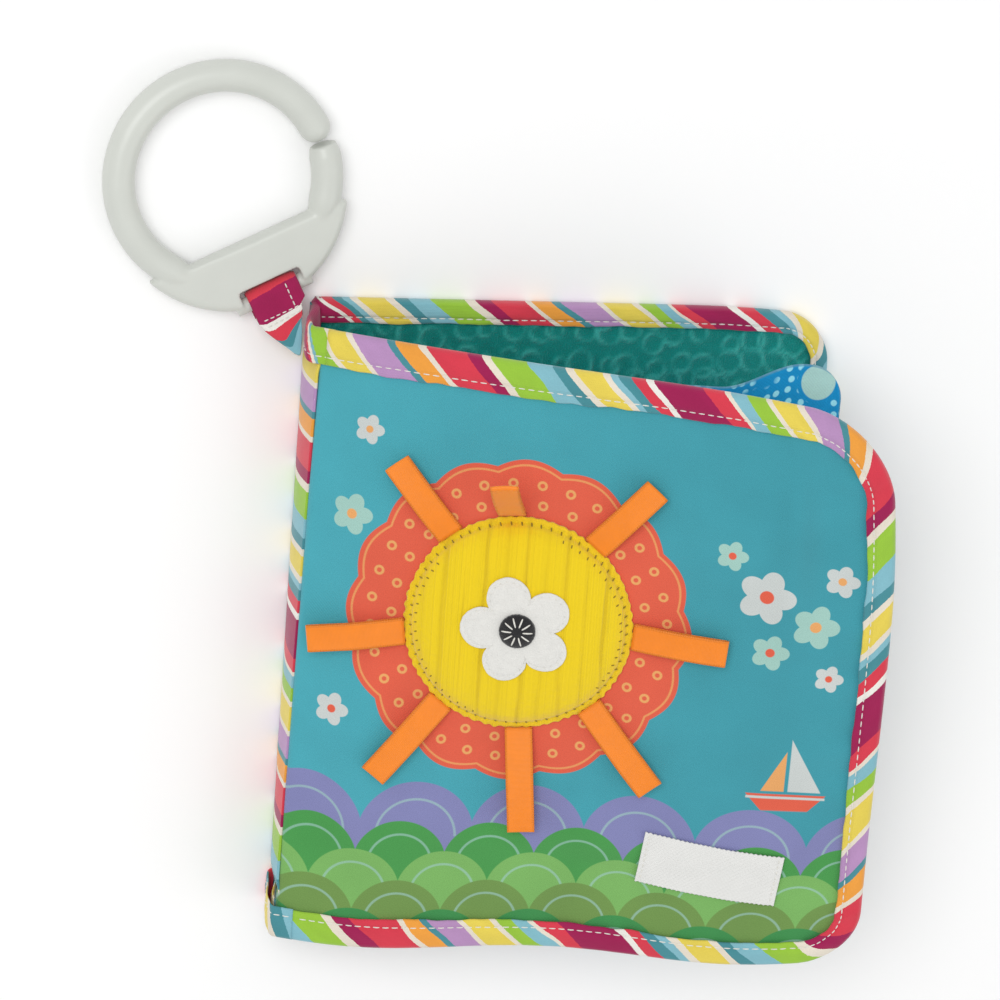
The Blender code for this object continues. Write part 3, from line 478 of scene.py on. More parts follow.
def make_boards():
    back = Board((FRONT_HINGE_X, 0.0), BACK_WIDTH, BACK_HEIGHT, BACK_SHIFT_Y, (0, 0), (BACK_CORNER,) * 2)
    back.pulls = ((1, BACK_PULL),)
    hinge = (FRONT_HINGE_X, FRONT_HINGE_Z)
    front = Board(hinge, FRONT_WIDTH, FRONT_HEIGHT, 0.0, FRONT_SLOPES, (TAIL_CORNER, HEAD_CORNER))
    front.head_sag = HEAD_SAG
    front.tail_wave = TAIL_WAVE
    front.pulls = ((1, HEAD_PULL), (-1, TAIL_PULL))
    hinge = (LEAF_HINGE_X, LEAF_HINGE_Z)
    leaf = Board(hinge, LEAF_WIDTH, LEAF_HEIGHT, LEAF_SHIFT_Y, LEAF_SLOPES, (LEAF_CORNER,) * 2)
    leaf.corner_pop = LEAF_CORNER_POP
    return back, front, leaf


BACK_BOARD, FRONT_BOARD, LEAF_BOARD = make_boards()
PUCKER_SIZE = 0.0060
PUCKER_REACH = 0.0090
WAVE_SIZE = 0.0300
FOLD_SIZE = 0.0110
FOLD_SHARE = 0.55
FOLD_TURN = (0.55, 0.84)
FOLD_LENGTH_SHARE = 0.32
DRAG_SIZE = 0.45
DRAG_REACH = 0.0060
DRAG_START = 0.0012
# Each fold: its middle on the pattern, its half size along both, its height
CORNER_FOLDS = (
    ((0.1250, 0.0440), (0.0046, 0.0230), 0.0022), ((0.1340, 0.0440), (0.0040, 0.0220), -0.0006),
    ((0.0200, -0.0300), (0.0060, 0.0260), 0.0010), ((0.0750, -0.0480), (0.0300, 0.0055), 0.0010),
)


def panel_base(s, q):
    """Height of the front panel's upper side before its puckers and waves."""
    side_room = np.minimum(FRONT_BOARD.half - q, FRONT_BOARD.half + q)
    side = ease((TAPE_FACE + CROWN_WIDTH - side_room) / CROWN_WIDTH)
    free = CLOTH / 2
    bound = FRONT_DROP - TAPE_INSIDE
    low = free + (bound - free) * np.maximum(ease(s / SPINE_CROWN_WIDTH), side)
    return low + (FRONT_CROWN + FRONT_DROP - low) * FRONT_BOARD.crown(s, q)


def from_patch(s, q):
    """Distance and turn from the middle of the round patch."""
    return np.hypot(s - PATCH_S, q - PATCH_Q), np.arctan2(q - PATCH_Q, s - PATCH_S)


def panel_relief(s, q):
    """Puckers in from the tape, soft waves, drag lines round the patch and a few soft folds."""
    cloth = bpy.context.scene.book_cloth
    to_tail = FRONT_BOARD.half + q - TAPE_FACE
    to_head = FRONT_BOARD.half - q - TAPE_FACE
    to_fore = FRONT_BOARD.width - s - TAPE_FACE
    at_ends = bell(to_tail, PUCKER_REACH) + bell(to_head, PUCKER_REACH)
    puckers = soft_noise(s, 0 * q, PUCKER_SIZE, 1) * at_ends
    puckers = puckers + soft_noise(0 * s, q, PUCKER_SIZE, 2) * bell(to_fore, PUCKER_REACH)
    inside = ease(np.minimum(np.minimum(to_tail, to_head), np.minimum(to_fore, s)) / PUCKER_REACH)
    waves = soft_noise(s, q, WAVE_SIZE, 3)
    across = s * FOLD_TURN[0] + q * FOLD_TURN[1]
    down = (s * FOLD_TURN[1] - q * FOLD_TURN[0]) * FOLD_LENGTH_SHARE
    folds = soft_noise(across, down, FOLD_SIZE, 4)
    relief = cloth.pucker * puckers + cloth.wave * inside * (waves + FOLD_SHARE * folds)
    distance, turn = from_patch(s, q)
    past = distance - PATCH_RADIUS
    drag = soft_noise(np.cos(turn), np.sin(turn), DRAG_SIZE, 5) * bell(past, DRAG_REACH)
    relief = relief * ease(past / DRAG_REACH) + cloth.pucker * drag * ease(past / DRAG_START)
    for place, size, height in CORNER_FOLDS:
        relief = relief + height * bell(np.hypot((s - place[0]) / size[0], (q - place[1]) / size[1]), 1.0)
    return relief


def panel_top(s, q):
    return panel_base(s, q) + panel_relief(s, q)


# Meshes


def grid_quads(rows, columns, first=0, flip=False):
    """The faces of a grid whose points are numbered row by row."""
    numbers = first + np.arange(rows * columns).reshape(rows, columns)
    corners = [numbers[:-1, :-1], numbers[1:, :-1], numbers[1:, 1:], numbers[:-1, 1:]]
    quads = np.stack([corner.ravel() for corner in corners], axis=1)
    return quads[:, ::-1] if flip else quads


def rim_quads(rows, columns):
    """The faces that join the rim of an upper grid to the lower grid that follows it."""
    numbers = np.arange(rows * columns).reshape(rows, columns)
    loop = np.concatenate([numbers[:, 0], numbers[-1, 1:], numbers[-2::-1, -1], numbers[0, -2:0:-1]])
    following = np.roll(loop, -1)
    lower = rows * columns
    return np.stack([following, loop, loop + lower, following + lower], axis=1)


def tube_quads(stations, count, first=0):
    """The faces of a closed section swept over stations."""
    numbers = first + np.arange(stations * count).reshape(stations, count)
    following = np.roll(numbers, -1, axis=1)
    corners = [numbers[:-1], following[:-1], following[1:], numbers[1:]]
    return np.stack([corner.ravel() for corner in corners], axis=1)


def mesh_of(name, working):
    """The mesh that a shape under work becomes."""
    mesh = bpy.data.meshes.new(name)
    working.to_mesh(mesh)
    working.free()
    return mesh


def linked(name, data):
    item = bpy.data.objects.new(name, data)
    bpy.context.scene.collection.objects.link(item)
    return item


def new_piece(name, points, faces, finish, cloth=None):
    """A smooth-shaded mesh object. Its cloth coordinates, in metres, steer the weave and the print."""
    mesh = bpy.data.meshes.new(name)
    places = np.asarray(points, float).reshape(-1, 3).tolist()
    mesh.from_pydata(places, [], [list(map(int, face)) for face in faces])
    mesh.validate()
    if cloth is not None:
        coordinates = mesh.attributes.new("cloth", "FLOAT_VECTOR", "POINT")
        values = np.zeros((len(mesh.vertices), 3), np.float32)
        values[:, : cloth.shape[-1]] = cloth.reshape(len(mesh.vertices), -1)
        coordinates.data.foreach_set("vector", values.ravel())
    mesh.materials.append(finish_of(finish))
    item = linked(name, mesh)
    turned = bmesh.new()
    turned.from_mesh(mesh)
    bmesh.ops.recalc_face_normals(turned, faces=turned.faces[:])
    turned.to_mesh(mesh)
    turned.free()
    mesh.shade_smooth()
    return item


def layer(name, over, under, finish, cloth):
    """A closed sheet of cloth between an upper and a lower grid of points."""
    rows, columns = over.shape[:2]
    points = np.concatenate([over.reshape(-1, 3), under.reshape(-1, 3)])
    faces = [grid_quads(rows, columns), grid_quads(rows, columns, rows * columns, True)]
    faces.append(rim_quads(rows, columns))
    both = np.concatenate([cloth.reshape(-1, cloth.shape[-1])] * 2)
    return new_piece(name, points, np.concatenate(faces), finish, both)


def laid_sheet(name, board, s, q, over_n, under_n, finish, cloth=None):
    """A closed sheet on a board between two heights, with the pattern as its cloth coordinates."""
    cloth = (s, q) if cloth is None else cloth
    over = board.place(s, q, over_n)
    under = board.place(s, q, under_n)
    return layer(name, over, under, finish, stacked(*cloth))


def swept(name, rings, finish, cloth):
    """A closed section swept over stations, with its ends closed."""
    stations, count = rings.shape[:2]
    faces = tube_quads(stations, count).tolist()
    faces.append(list(range(count)))
    faces.append(list(range((stations - 1) * count, stations * count))[::-1])
    return new_piece(name, rings, faces, finish, cloth)


def dress(item, body, nodes=()):
    """Puts a finished piece on its body and the nodes that it stands for."""
    if body:
        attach(item, body)
    if nodes:
        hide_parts(*nodes)
    return item


# Along a stitch: the share of its length and the share of the thread's radius
STITCH_RINGS = ((0.0, 0.35), (0.12, 0.85), (0.5, 1.0), (0.88, 0.85), (1.0, 0.35))
STITCH_SIDES = 6
STITCH_DIP = 0.9


def stitch_row(name, starts, ends, ups, radius, finish="white_thread"):
    """Short stitches of thread from each start to each end, their ends drawn down into the cloth."""
    starts, ends, ups = (np.vstack(part) for part in (starts, ends, ups))
    run = ends - starts
    side = np.cross(ups, run)
    side /= np.linalg.norm(side, axis=1, keepdims=True)
    ups = ups / np.linalg.norm(ups, axis=1, keepdims=True)
    turns = 2 * math.pi * np.arange(STITCH_SIDES) / STITCH_SIDES
    across = side[:, None] * np.cos(turns)[None, :, None] + ups[:, None] * np.sin(turns)[None, :, None]
    rings = []
    for share, width in STITCH_RINGS:
        middle = starts + run * share - ups * (radius * STITCH_DIP * (2 * share - 1) ** 2)
        rings.append(middle[:, None] + across * radius * width)
    each = len(STITCH_RINGS) * STITCH_SIDES
    faces = []
    for first in range(0, len(starts) * each, each):
        faces += tube_quads(len(STITCH_RINGS), STITCH_SIDES, first).tolist()
        faces.append(list(range(first, first + STITCH_SIDES)))
        faces.append(list(range(first + each - STITCH_SIDES, first + each)))
    return new_piece(name, np.stack(rings, axis=1), faces, finish)


def off_front(s, q):
    """The direction that stands off the front cover at a point."""
    return FRONT_BOARD.place(s, q, 0 * s + EDGE_GAP) - FRONT_BOARD.place(s, q, 0 * s)


# Materials

MILLIMETRES = 1000.0
PRINT_EDGE = 0.12
COTTON_PITCH = 0.42
COTTON_DEPTH = 0.000022


class Wire:
    """An output in a material's node tree. Formulas written with it become Math nodes."""

    def __init__(self, tree, socket):
        self.tree = tree
        self.socket = socket

    def feed(self, place):
        self.tree.links.new(self.socket, place)

    def math(self, operation, *others, clamp=False):
        node = self.tree.nodes.new("ShaderNodeMath")
        node.operation = operation
        node.use_clamp = clamp
        for place, value in zip(node.inputs, (self, *others)):
            fill(place, value)
        return Wire(self.tree, node.outputs[0])

    def __add__(self, other):
        return self.math("ADD", other)

    def __sub__(self, other):
        return self.math("SUBTRACT", other)

    def __mul__(self, other):
        return self.math("MULTIPLY", other)

    __radd__ = __add__
    __rmul__ = __mul__

    def sin(self):
        return self.math("SINE")

    def cos(self):
        return self.math("COSINE")

    def size(self):
        return self.math("ABSOLUTE")

    def fraction(self):
        return self.math("FRACT")

    def least(self, other):
        return self.math("MINIMUM", other)

    def most(self, other):
        return self.math("MAXIMUM", other)

    def rise(self, start, end):
        """0 before start and 1 after end, with a straight ramp between them."""
        return ((self - start) * (1.0 / (end - start))).math("ADD", 0.0, clamp=True)

    def below(self, edge, soft):
        return self.rise(edge + soft, edge - soft)


def fill(place, value):
    """Gives an input of a node its value, by a link where the value is a wire."""
    if isinstance(value, Wire):
        value.feed(place)
    else:
        place.default_value = value


def apart(x, y):
    """How far a point lies from 0, 0."""
    return (x * x + y * y).math("SQRT")


def in_cell(value, pitch):
    """Where a coordinate lies in its cell of a repeat, from the cell's middle."""
    return ((value * (1.0 / pitch)).fraction() - 0.5) * pitch


def threads_at(value, pitch):
    """A round rise and fall that repeats at a pitch, -1 to 1."""
    return (value * (2 * math.pi / pitch)).sin()


class Finish:
    """A material while it is being made: its node tree, its shader, and coordinates in millimetres."""

    def __init__(self, name, roughness, sheen=0.0, sheen_roughness=0.5, specular=0.5):
        self.material = bpy.data.materials.new(name)
        self.material.use_nodes = True
        self.tree = self.material.node_tree
        self.shader = self.tree.nodes["Principled BSDF"]
        self.shader.inputs["Roughness"].default_value = roughness
        self.shader.inputs["Sheen Weight"].default_value = sheen
        self.shader.inputs["Sheen Roughness"].default_value = sheen_roughness
        self.shader.inputs["Specular IOR Level"].default_value = specular
        self.heights = None

    def node(self, kind, **inputs):
        made = self.tree.nodes.new(kind)
        for key, value in inputs.items():
            fill(made.inputs[key.replace("_", " ")], value)
        return made

    def wires(self, node):
        return [Wire(self.tree, output) for output in node.outputs]

    def scaled(self, vector, scale):
        """A vector or a colour times a number."""
        made = self.tree.nodes.new("ShaderNodeVectorMath")
        made.operation = "SCALE"
        vector.feed(made.inputs[0])
        fill(made.inputs["Scale"], scale)
        return self.wires(made)[0]

    def in_millimetres(self, socket):
        vector = self.scaled(Wire(self.tree, socket), MILLIMETRES)
        return self.wires(self.node("ShaderNodeSeparateXYZ", Vector=vector)) + [vector]

    def cloth(self):
        """The piece's own cloth coordinates, as three wires and one vector wire."""
        source = self.tree.nodes.new("ShaderNodeAttribute")
        source.attribute_name = "cloth"
        return self.in_millimetres(source.outputs["Vector"])

    def solid(self):
        """The same from the object's own space, for pieces that carry no cloth coordinates."""
        return self.in_millimetres(self.tree.nodes.new("ShaderNodeTexCoord").outputs["Object"])

    def grain(self, vector, size, detail=2.0):
        """Noise of a given size in millimetres, 0 to 1."""
        made = self.node("ShaderNodeTexNoise", Vector=vector, Scale=1.0 / size, Detail=detail)
        return Wire(self.tree, made.outputs["Fac"])

    def chance(self, column, row):
        """Two chance values, 0 to 1, that stay the same within each cell of a grid."""
        cell = self.node("ShaderNodeCombineXYZ", X=column.math("FLOOR"), Y=row.math("FLOOR"))
        thrown = self.node("ShaderNodeTexWhiteNoise", Vector=self.wires(cell)[0])
        colour = Wire(self.tree, thrown.outputs["Color"])
        return self.wires(self.node("ShaderNodeSeparateXYZ", Vector=colour))[:2]

    def colour(self, value):
        made = self.tree.nodes.new("ShaderNodeRGB")
        made.outputs[0].default_value = (*value, 1.0)
        return self.wires(made)[0]

    def laid(self, base, value, share):
        """A colour laid over another where a share, 0 to 1, says so."""
        made = self.tree.nodes.new("ShaderNodeMix")
        made.data_type = "RGBA"
        base.feed(made.inputs["A"])
        made.inputs["B"].default_value = (*value, 1.0)
        fill(made.inputs["Factor"], share)
        return Wire(self.tree, made.outputs["Result"])

    def tinted(self, base, low, high, share):
        """A colour made darker or brighter: times low where the share is 0, times high where it is 1."""
        return self.scaled(base, share * (high - low) + low)

    def weave(self, a, b, pitch, depth):
        """Height of a plain weave, in metres, for threads a pitch apart in millimetres."""
        return threads_at(a, 2 * pitch) * threads_at(b, 2 * pitch) * depth

    def raise_by(self, height):
        self.heights = height if self.heights is None else self.heights + height

    def done(self, colour, roughness=None):
        colour.feed(self.shader.inputs["Base Color"])
        if roughness is not None:
            roughness.feed(self.shader.inputs["Roughness"])
        if self.heights is not None:
            bump = self.node("ShaderNodeBump", Height=self.heights, Distance=1.0)
            self.tree.links.new(bump.outputs["Normal"], self.shader.inputs["Normal"])
        return self.material


def grained(finish, colour, vector, *grains):
    """Grains over a cloth. Each gives its size, detail, height in metres, darkest and brightest tone."""
    for size, detail, height, low, high in grains:
        grain = finish.grain(vector, size, detail)
        if height:
            finish.raise_by(grain * height)
        colour = finish.tinted(colour, low, high, grain)
    return colour


def cotton(finish, colour, a, b, vector, depth=COTTON_DEPTH):
    """Plain cotton: its weave, a faint blotchy tone and uneven threads."""
    finish.raise_by(finish.weave(a, b, COTTON_PITCH, depth))
    return grained(finish, colour, vector, (16.0, 3.0, 0, 0.90, 1.10), (0.35, 3.0, depth, 0.88, 1.10))


# Printed design, in millimetres on the panel's pattern

MEDALLION_SCALLOP = 1.9
MEDALLION_LINE = 1.5
MEDALLION_LINE_HALF = 0.28
MEDALLION_LINE_TONE = 0.75
SMALL_RING = 0.95
SMALL_RING_HALF = 0.34
# Each row of small rings: its share of the medallion's radius, their count and their turn
MEDALLION_ROWS = ((0.735, 26, 0.0), (0.855, 32, 0.09))
WAVE_ARC_SHARE = 0.68
WAVE_ARC_HALF = 0.32
WAVE_ARC_TONE = 0.55
WAVE_ARC_SOFT = 0.2
BIG_WAVES = {"top": -33.5, "radius": 15.0, "offset": 9.0}
BIG_WAVE_SCALE = 1.25
HILL_TOP = -44.5
HILL_STEP = 8.5
HILL_RADIUS_SHARE = 0.52
HILL_OFFSET = 4.0
PETAL_NOTCH = 0.34
BLOSSOM_EYE = 0.24
PRINT_BLOSSOMS = (
    ((118.5, 27.0), 7.6, PALE, CORAL), ((131.5, 19.5), 6.2, MINT, TAN), ((120.5, 11.5), 5.0, MINT, CORAL),
    ((137.5, 33.0), 4.6, PALE, TAN), ((109.0, 37.5), 4.2, MINT, CORAL), ((136.0, 5.0), 3.8, PALE, CORAL),
    ((12.5, 36.0), 5.4, MINT, TAN), ((10.5, -16.0), 4.4, PALE, CORAL), ((15.5, 58.0), 3.8, PALE, TAN),
)
BOAT = (128.0, -29.0)
# Each sail: its foot from the boat's middle, its width with the side it points to, its height, its colour
SAILS = (((0.5, 1.2), 8.5, 15.0, PALE), ((-0.5, 1.2), -6.0, 11.5, TAN))
HULL_TOP = 0.4
HULL_FOOT = (-4.6, -4.2)
HULL_HALF = 10.0
HULL_FLARE = 0.9
RAIL_DROP = 0.6
RAIL_HALF = 0.35
RAIL_REACH = 10.2


def ring_row(turn, radius_here, radius, count, offset):
    """Small printed rings evenly round a circle, as a share."""
    step = 2 * math.pi / count
    across = (((turn + offset) * (1.0 / step) + 0.5).fraction() - 0.5) * step * radius
    distance = apart(across, radius_here - radius)
    return (distance - SMALL_RING).size().below(SMALL_RING_HALF, PRINT_EDGE)


def medallion(finish, colour, s, q):
    """A scalloped medallion behind the patch, with two rows of small rings."""
    sizes = bpy.context.scene.book_print
    x = s - PATCH_S * MILLIMETRES
    y = q - PATCH_Q * MILLIMETRES
    radius = apart(x, y)
    turn = y.math("ARCTAN2", x)
    rim = sizes.medallion * MILLIMETRES
    scallop = (turn * (sizes.scallops / 2)).cos().size() * MEDALLION_SCALLOP + (rim - MEDALLION_SCALLOP)
    to_rim = scallop - radius
    colour = finish.laid(colour, sizes.coral, to_rim.rise(-PRINT_EDGE, PRINT_EDGE))
    band = (to_rim - MEDALLION_LINE).size().below(MEDALLION_LINE_HALF, PRINT_EDGE)
    colour = finish.laid(colour, TAN, band * MEDALLION_LINE_TONE)
    for share, count, offset in MEDALLION_ROWS:
        colour = finish.laid(colour, TAN, ring_row(turn, radius, rim * share, count, offset))
    return colour


def wave_row(finish, colour, s, q, value, pitch, top, radius, offset):
    """One row of overlapping round waves, with a paler arc inside each."""
    away = q - (top - radius)
    distance = apart(in_cell(s + offset, pitch), away)
    body = distance.below(radius, PRINT_EDGE).most(q.below(top - radius, PRINT_EDGE))
    colour = finish.laid(colour, value, body)
    arcs = (distance - radius * WAVE_ARC_SHARE).size().below(WAVE_ARC_HALF, PRINT_EDGE)
    return finish.laid(colour, MINT, arcs * away.rise(-WAVE_ARC_SOFT, WAVE_ARC_SOFT) * WAVE_ARC_TONE)


def blossom_print(finish, colour, s, q, place, radius, value, centre):
    x = s - place[0]
    y = q - place[1]
    distance = apart(x, y)
    turn = y.math("ARCTAN2", x)
    rim = ((turn * (PETALS / 2)).cos().size() * PETAL_NOTCH + (1 - PETAL_NOTCH)) * radius
    colour = finish.laid(colour, value, (rim - distance).rise(-PRINT_EDGE, PRINT_EDGE))
    return finish.laid(colour, centre, distance.below(radius * BLOSSOM_EYE, PRINT_EDGE))


def boat_print(finish, colour, s, q):
    """A small sailing boat on the waves: two sails, upright at the mast, and a hull with a pale rail."""
    x = s - BOAT[0]
    y = q - BOAT[1]
    for foot, width, height, value in SAILS:
        run = (x - foot[0]) * math.copysign(1.0, width)
        above = y - foot[1]
        edge = above.rise(-PRINT_EDGE, PRINT_EDGE) * run.rise(-PRINT_EDGE, PRINT_EDGE)
        slant = (run * (1.0 / abs(width)) + above * (1.0 / height)).below(1.0, PRINT_EDGE / 10)
        colour = finish.laid(colour, value, edge * slant)
    aside = x.size()
    hull = y.below(HULL_TOP, PRINT_EDGE) * y.rise(*HULL_FOOT)
    hull = hull * (aside - y * HULL_FLARE).below(HULL_HALF, PRINT_EDGE)
    colour = finish.laid(colour, bpy.context.scene.book_print.coral, hull)
    rail = (y + RAIL_DROP).size().below(RAIL_HALF, PRINT_EDGE) * aside.below(RAIL_REACH, PRINT_EDGE)
    return finish.laid(colour, PALE, rail)


def printed_panel():
    """The front panel's cotton: its ground, painted lighter near the spine as painted light, a boat, waves at
    the tail, blossoms and the medallion.
    """
    finish = Finish("printed panel cotton", 0.86, sheen=0.22, sheen_roughness=0.55, specular=0.22)
    sizes = bpy.context.scene.book_print
    s, q, _, vector = finish.cloth()
    pitch = sizes.wave_pitch * MILLIMETRES
    # Painted light: the ground is painted lighter near the spine and fades to its own colour toward the fore
    # edge
    colour = finish.laid(finish.colour(GROUND_PAINTED_LIGHT), sizes.ground, s.rise(*PAINTED_LIGHT_FADE))
    colour = boat_print(finish, colour, s, q)
    colour = wave_row(finish, colour, s, q, HILL_LILAC, pitch * BIG_WAVE_SCALE, **BIG_WAVES)
    for index, value in enumerate(HILL_GREENS):
        top = HILL_TOP - HILL_STEP * index
        offset = pitch / 2 * index + HILL_OFFSET
        colour = wave_row(finish, colour, s, q, value, pitch, top, pitch * HILL_RADIUS_SHARE, offset)
    for blossom in PRINT_BLOSSOMS:
        colour = blossom_print(finish, colour, s, q, *blossom)
    colour = medallion(finish, colour, s, q)
    return finish.done(cotton(finish, colour, s, q, vector))


# Other finishes

# Painted light: millimetres from the spine over which the ground's painted light fades out
PAINTED_LIGHT_FADE = (10.0, 120.0)
TAPE_BORDER = 0.5
TAPE_DEPTH = COTTON_DEPTH * 1.2
LEAF_SPOTS = (127.8, 69.9)
LEAF_CELL = 38.0
LEAF_DOT_RADIUS = 0.78
LEAF_DOT_PITCH = 2.9
LEAF_DOT_STRAY = 1.2
LEAF_DISC = 4.4
LEAF_CLEAR = (5.4, 5.8)
LEAF_CLUSTER = 11.0
LEAF_PATCHES = (9.0, 0.0)
LEAF_PATCH_EDGE = (0.50, 0.56)
LEAF_PALE_EDGE_BAND = (0.3, 0.2)
LEAF_PALE_EDGE_TONE = 0.7
PLUSH_HIGHLIGHT_TONE = 0.75
FURROW_SHADE_TONE = 0.6
RIM_TONE = 0.45
# Threads and loops: how far apart in millimetres, and how high in metres
SATIN_RIB = (0.32, 0.000016)
SATIN_THREAD = (0.26, 0.000008)
SATIN_LOOP = (0.7, 0.00004)
SATIN_EDGE = (2.85, 3.05)
SATIN_EDGE_RISE = 0.00005
LABEL_RIB = (0.42, 0.000030)
LABEL_WEAVE = (0.6, 0.000025)
THREAD_TWIST = (0.32, 0.00002)
CREASE = 0.3
CREASE_HEIGHT = 0.0012
CREASE_SCALE = 0.22


def spotted_cotton(name, ground, spot, pitch, radius):
    """Plain cotton with a regular row of small round spots, for faces that the photograph doesn't show."""
    finish = Finish(name, 0.86, sheen=0.2, sheen_roughness=0.55, specular=0.22)
    s, q, _, vector = finish.cloth()
    distance = apart(in_cell(s + q, pitch), in_cell(s - q, pitch)) * math.sqrt(0.5)
    colour = finish.laid(finish.colour(ground), spot, distance.below(radius, PRINT_EDGE))
    return finish.done(cotton(finish, colour, s, q, vector))


def plain_cotton():
    finish = Finish("plain lining cotton", 0.88, sheen=0.2, sheen_roughness=0.55, specular=0.2)
    a, b, c, vector = finish.solid()
    return finish.done(cotton(finish, finish.colour(TEAL), a + c, b, vector))


def striped_tape():
    """The tape: a fixed order of coloured bands along it, woven on the slant, with slightly soft borders."""
    finish = Finish("striped tape cotton", 0.82, sheen=0.25, sheen_roughness=0.5, specular=0.25)
    along, across, _, vector = finish.cloth()
    wander = finish.grain(vector, TAPE_BORDER, 3.0) * TAPE_BORDER - TAPE_BORDER / 2
    total = sum(width for _, width in STRIPES)
    ramp = finish.node("ShaderNodeValToRGB", Fac=((along + wander) * (1.0 / total)).fraction())
    ramp.color_ramp.interpolation = "CONSTANT"
    stops = ramp.color_ramp.elements
    start = 0.0
    for index, (value, width) in enumerate(STRIPES):
        stop = stops[index] if index < 2 else stops.new(start / total)
        stop.position = start / total
        stop.color = (*value, 1.0)
        start += width
    colour = grained(finish, Wire(finish.tree, ramp.outputs["Color"]), vector, (5.0, 3.0, 0, 0.90, 1.08))
    diagonal = (along + across) * math.sqrt(0.5)
    other = (along - across) * math.sqrt(0.5)
    return finish.done(cotton(finish, colour, diagonal, other, vector, TAPE_DEPTH))


def dotted_cotton():
    """The leaf's cotton: clusters of pale dots round large pale discs, and a pale edge."""
    finish = Finish("dotted leaf cotton", 0.86, sheen=0.2, sheen_roughness=0.55, specular=0.22)
    s, q, inside, vector = finish.cloth()
    from_disc = [value + (LEAF_CELL / 2 - spot) for value, spot in zip((s, q), LEAF_SPOTS)]
    distance = apart(*(in_cell(value, LEAF_CELL) for value in from_disc))
    column = s * (1.0 / LEAF_DOT_PITCH)
    row = q * (1.0 / LEAF_DOT_PITCH)
    stray_s, stray_q = finish.chance(column, row)
    dot_s = (column.fraction() - 0.5) * LEAF_DOT_PITCH + (stray_s - 0.5) * LEAF_DOT_STRAY
    dot_q = (row.fraction() - 0.5) * LEAF_DOT_PITCH + (stray_q - 0.5) * LEAF_DOT_STRAY
    dots = apart(dot_s, dot_q).below(LEAF_DOT_RADIUS, PRINT_EDGE)
    clusters = finish.grain(vector, *LEAF_PATCHES).rise(*LEAF_PATCH_EDGE)
    clusters = clusters.most(distance.below(LEAF_CLUSTER, 1.0))
    ground = finish.colour(bpy.context.scene.book_cloth.leaf)
    colour = finish.laid(ground, LEAF_DOT, dots * clusters * distance.rise(*LEAF_CLEAR))
    colour = finish.laid(colour, LEAF_RING, distance.below(LEAF_DISC, PRINT_EDGE))
    # Paler along the leaf's outer edges
    colour = finish.laid(colour, LEAF_PALE_EDGE, inside.below(*LEAF_PALE_EDGE_BAND) * LEAF_PALE_EDGE_TONE)
    return finish.done(cotton(finish, colour, s, q, vector))


def embossed_plush():
    """Teal plush: pressed rings whose raised ridges are painted paler as a painted highlight, with fine grain
    in the pile.
    """
    finish = Finish("embossed teal plush", 0.95, sheen=0.55, sheen_roughness=0.45, specular=0.15)
    _, _, ridge_highlight, vector = finish.cloth()
    ground = finish.colour(bpy.context.scene.book_cloth.plush)
    # Painted highlight: the raised ridges of the rings are painted paler
    colour = finish.laid(ground, PLUSH_RIDGE_HIGHLIGHT, ridge_highlight * PLUSH_HIGHLIGHT_TONE)
    grains = ((0.42, 4.0, 0.00042, 0.62, 1.38), (2.4, 2.0, 0.00025, 0.85, 1.15))
    return finish.done(grained(finish, colour, vector, *grains))


def ribbed_plush():
    """Yellow plush of the patch: pale ribs, furrows darkened with painted shade, an orange cast at the cut
    rim.
    """
    finish = Finish("ribbed yellow plush", 0.93, sheen=0.35, sheen_roughness=0.5, specular=0.15)
    _, rim, furrow, vector = finish.cloth()
    ground = finish.colour(bpy.context.scene.book_patch.plush)
    # Painted shade: the furrows between the ribs are darkened toward DISC_SHADE
    colour = finish.laid(ground, DISC_SHADE, furrow * FURROW_SHADE_TONE)
    colour = finish.laid(colour, DISC_RIM, rim * RIM_TONE)
    grains = ((0.38, 4.0, 0.00034, 0.80, 1.14), (5.0, 2.0, 0, 0.93, 1.06))
    return finish.done(grained(finish, colour, vector, *grains))


def felt(name, value, low, high):
    """Pressed felt: short tangled fibres and a soft uneven tone."""
    finish = Finish(name, 0.96, sheen=0.4, sheen_roughness=0.6, specular=0.1)
    vector = finish.solid()[-1]
    grains = ((0.30, 5.0, 0.00022, low, high), (1.8, 3.0, 0.00018, 0.93, 1.05))
    return finish.done(grained(finish, finish.colour(value), vector, *grains))


def satin():
    """Satin ribbon: fine threads across it, woven edges and a soft lengthwise gloss."""
    finish = Finish("orange satin", 0.42, sheen=0.15, sheen_roughness=0.4, specular=0.45)
    finish.shader.inputs["Anisotropic"].default_value = 0.5
    along, across, _, vector = finish.cloth()
    ribs = threads_at(along, SATIN_RIB[0])
    finish.raise_by(ribs * SATIN_RIB[1] + threads_at(across, SATIN_THREAD[0]) * SATIN_THREAD[1])
    edge = across.size().rise(*SATIN_EDGE)
    finish.raise_by(edge * (threads_at(along, SATIN_LOOP[0]) * SATIN_LOOP[1] + SATIN_EDGE_RISE))
    patches = finish.grain(vector, 4.0, 2.0)
    colour = finish.tinted(finish.colour(bpy.context.scene.book_patch.ribbons), 0.93, 1.06, patches)
    colour = finish.tinted(colour, 1.0, 0.88, edge)
    return finish.done(finish.tinted(colour, 0.95, 1.05, ribs * 0.5 + 0.5), patches * 0.14 + 0.36)


def woven_label():
    """White damask label, bare, with a dense satin weave."""
    finish = Finish("woven label", 0.58, sheen=0.2, sheen_roughness=0.4, specular=0.35)
    a, b, _, vector = finish.cloth()
    finish.raise_by(threads_at(b, LABEL_RIB[0]) * LABEL_RIB[1] + finish.weave(a, b, *LABEL_WEAVE))
    grains = ((0.3, 3.0, 0, 0.90, 1.05), (6.0, 2.0, 0, 0.95, 1.03))
    return finish.done(grained(finish, finish.colour(LABEL_WHITE), vector, *grains))


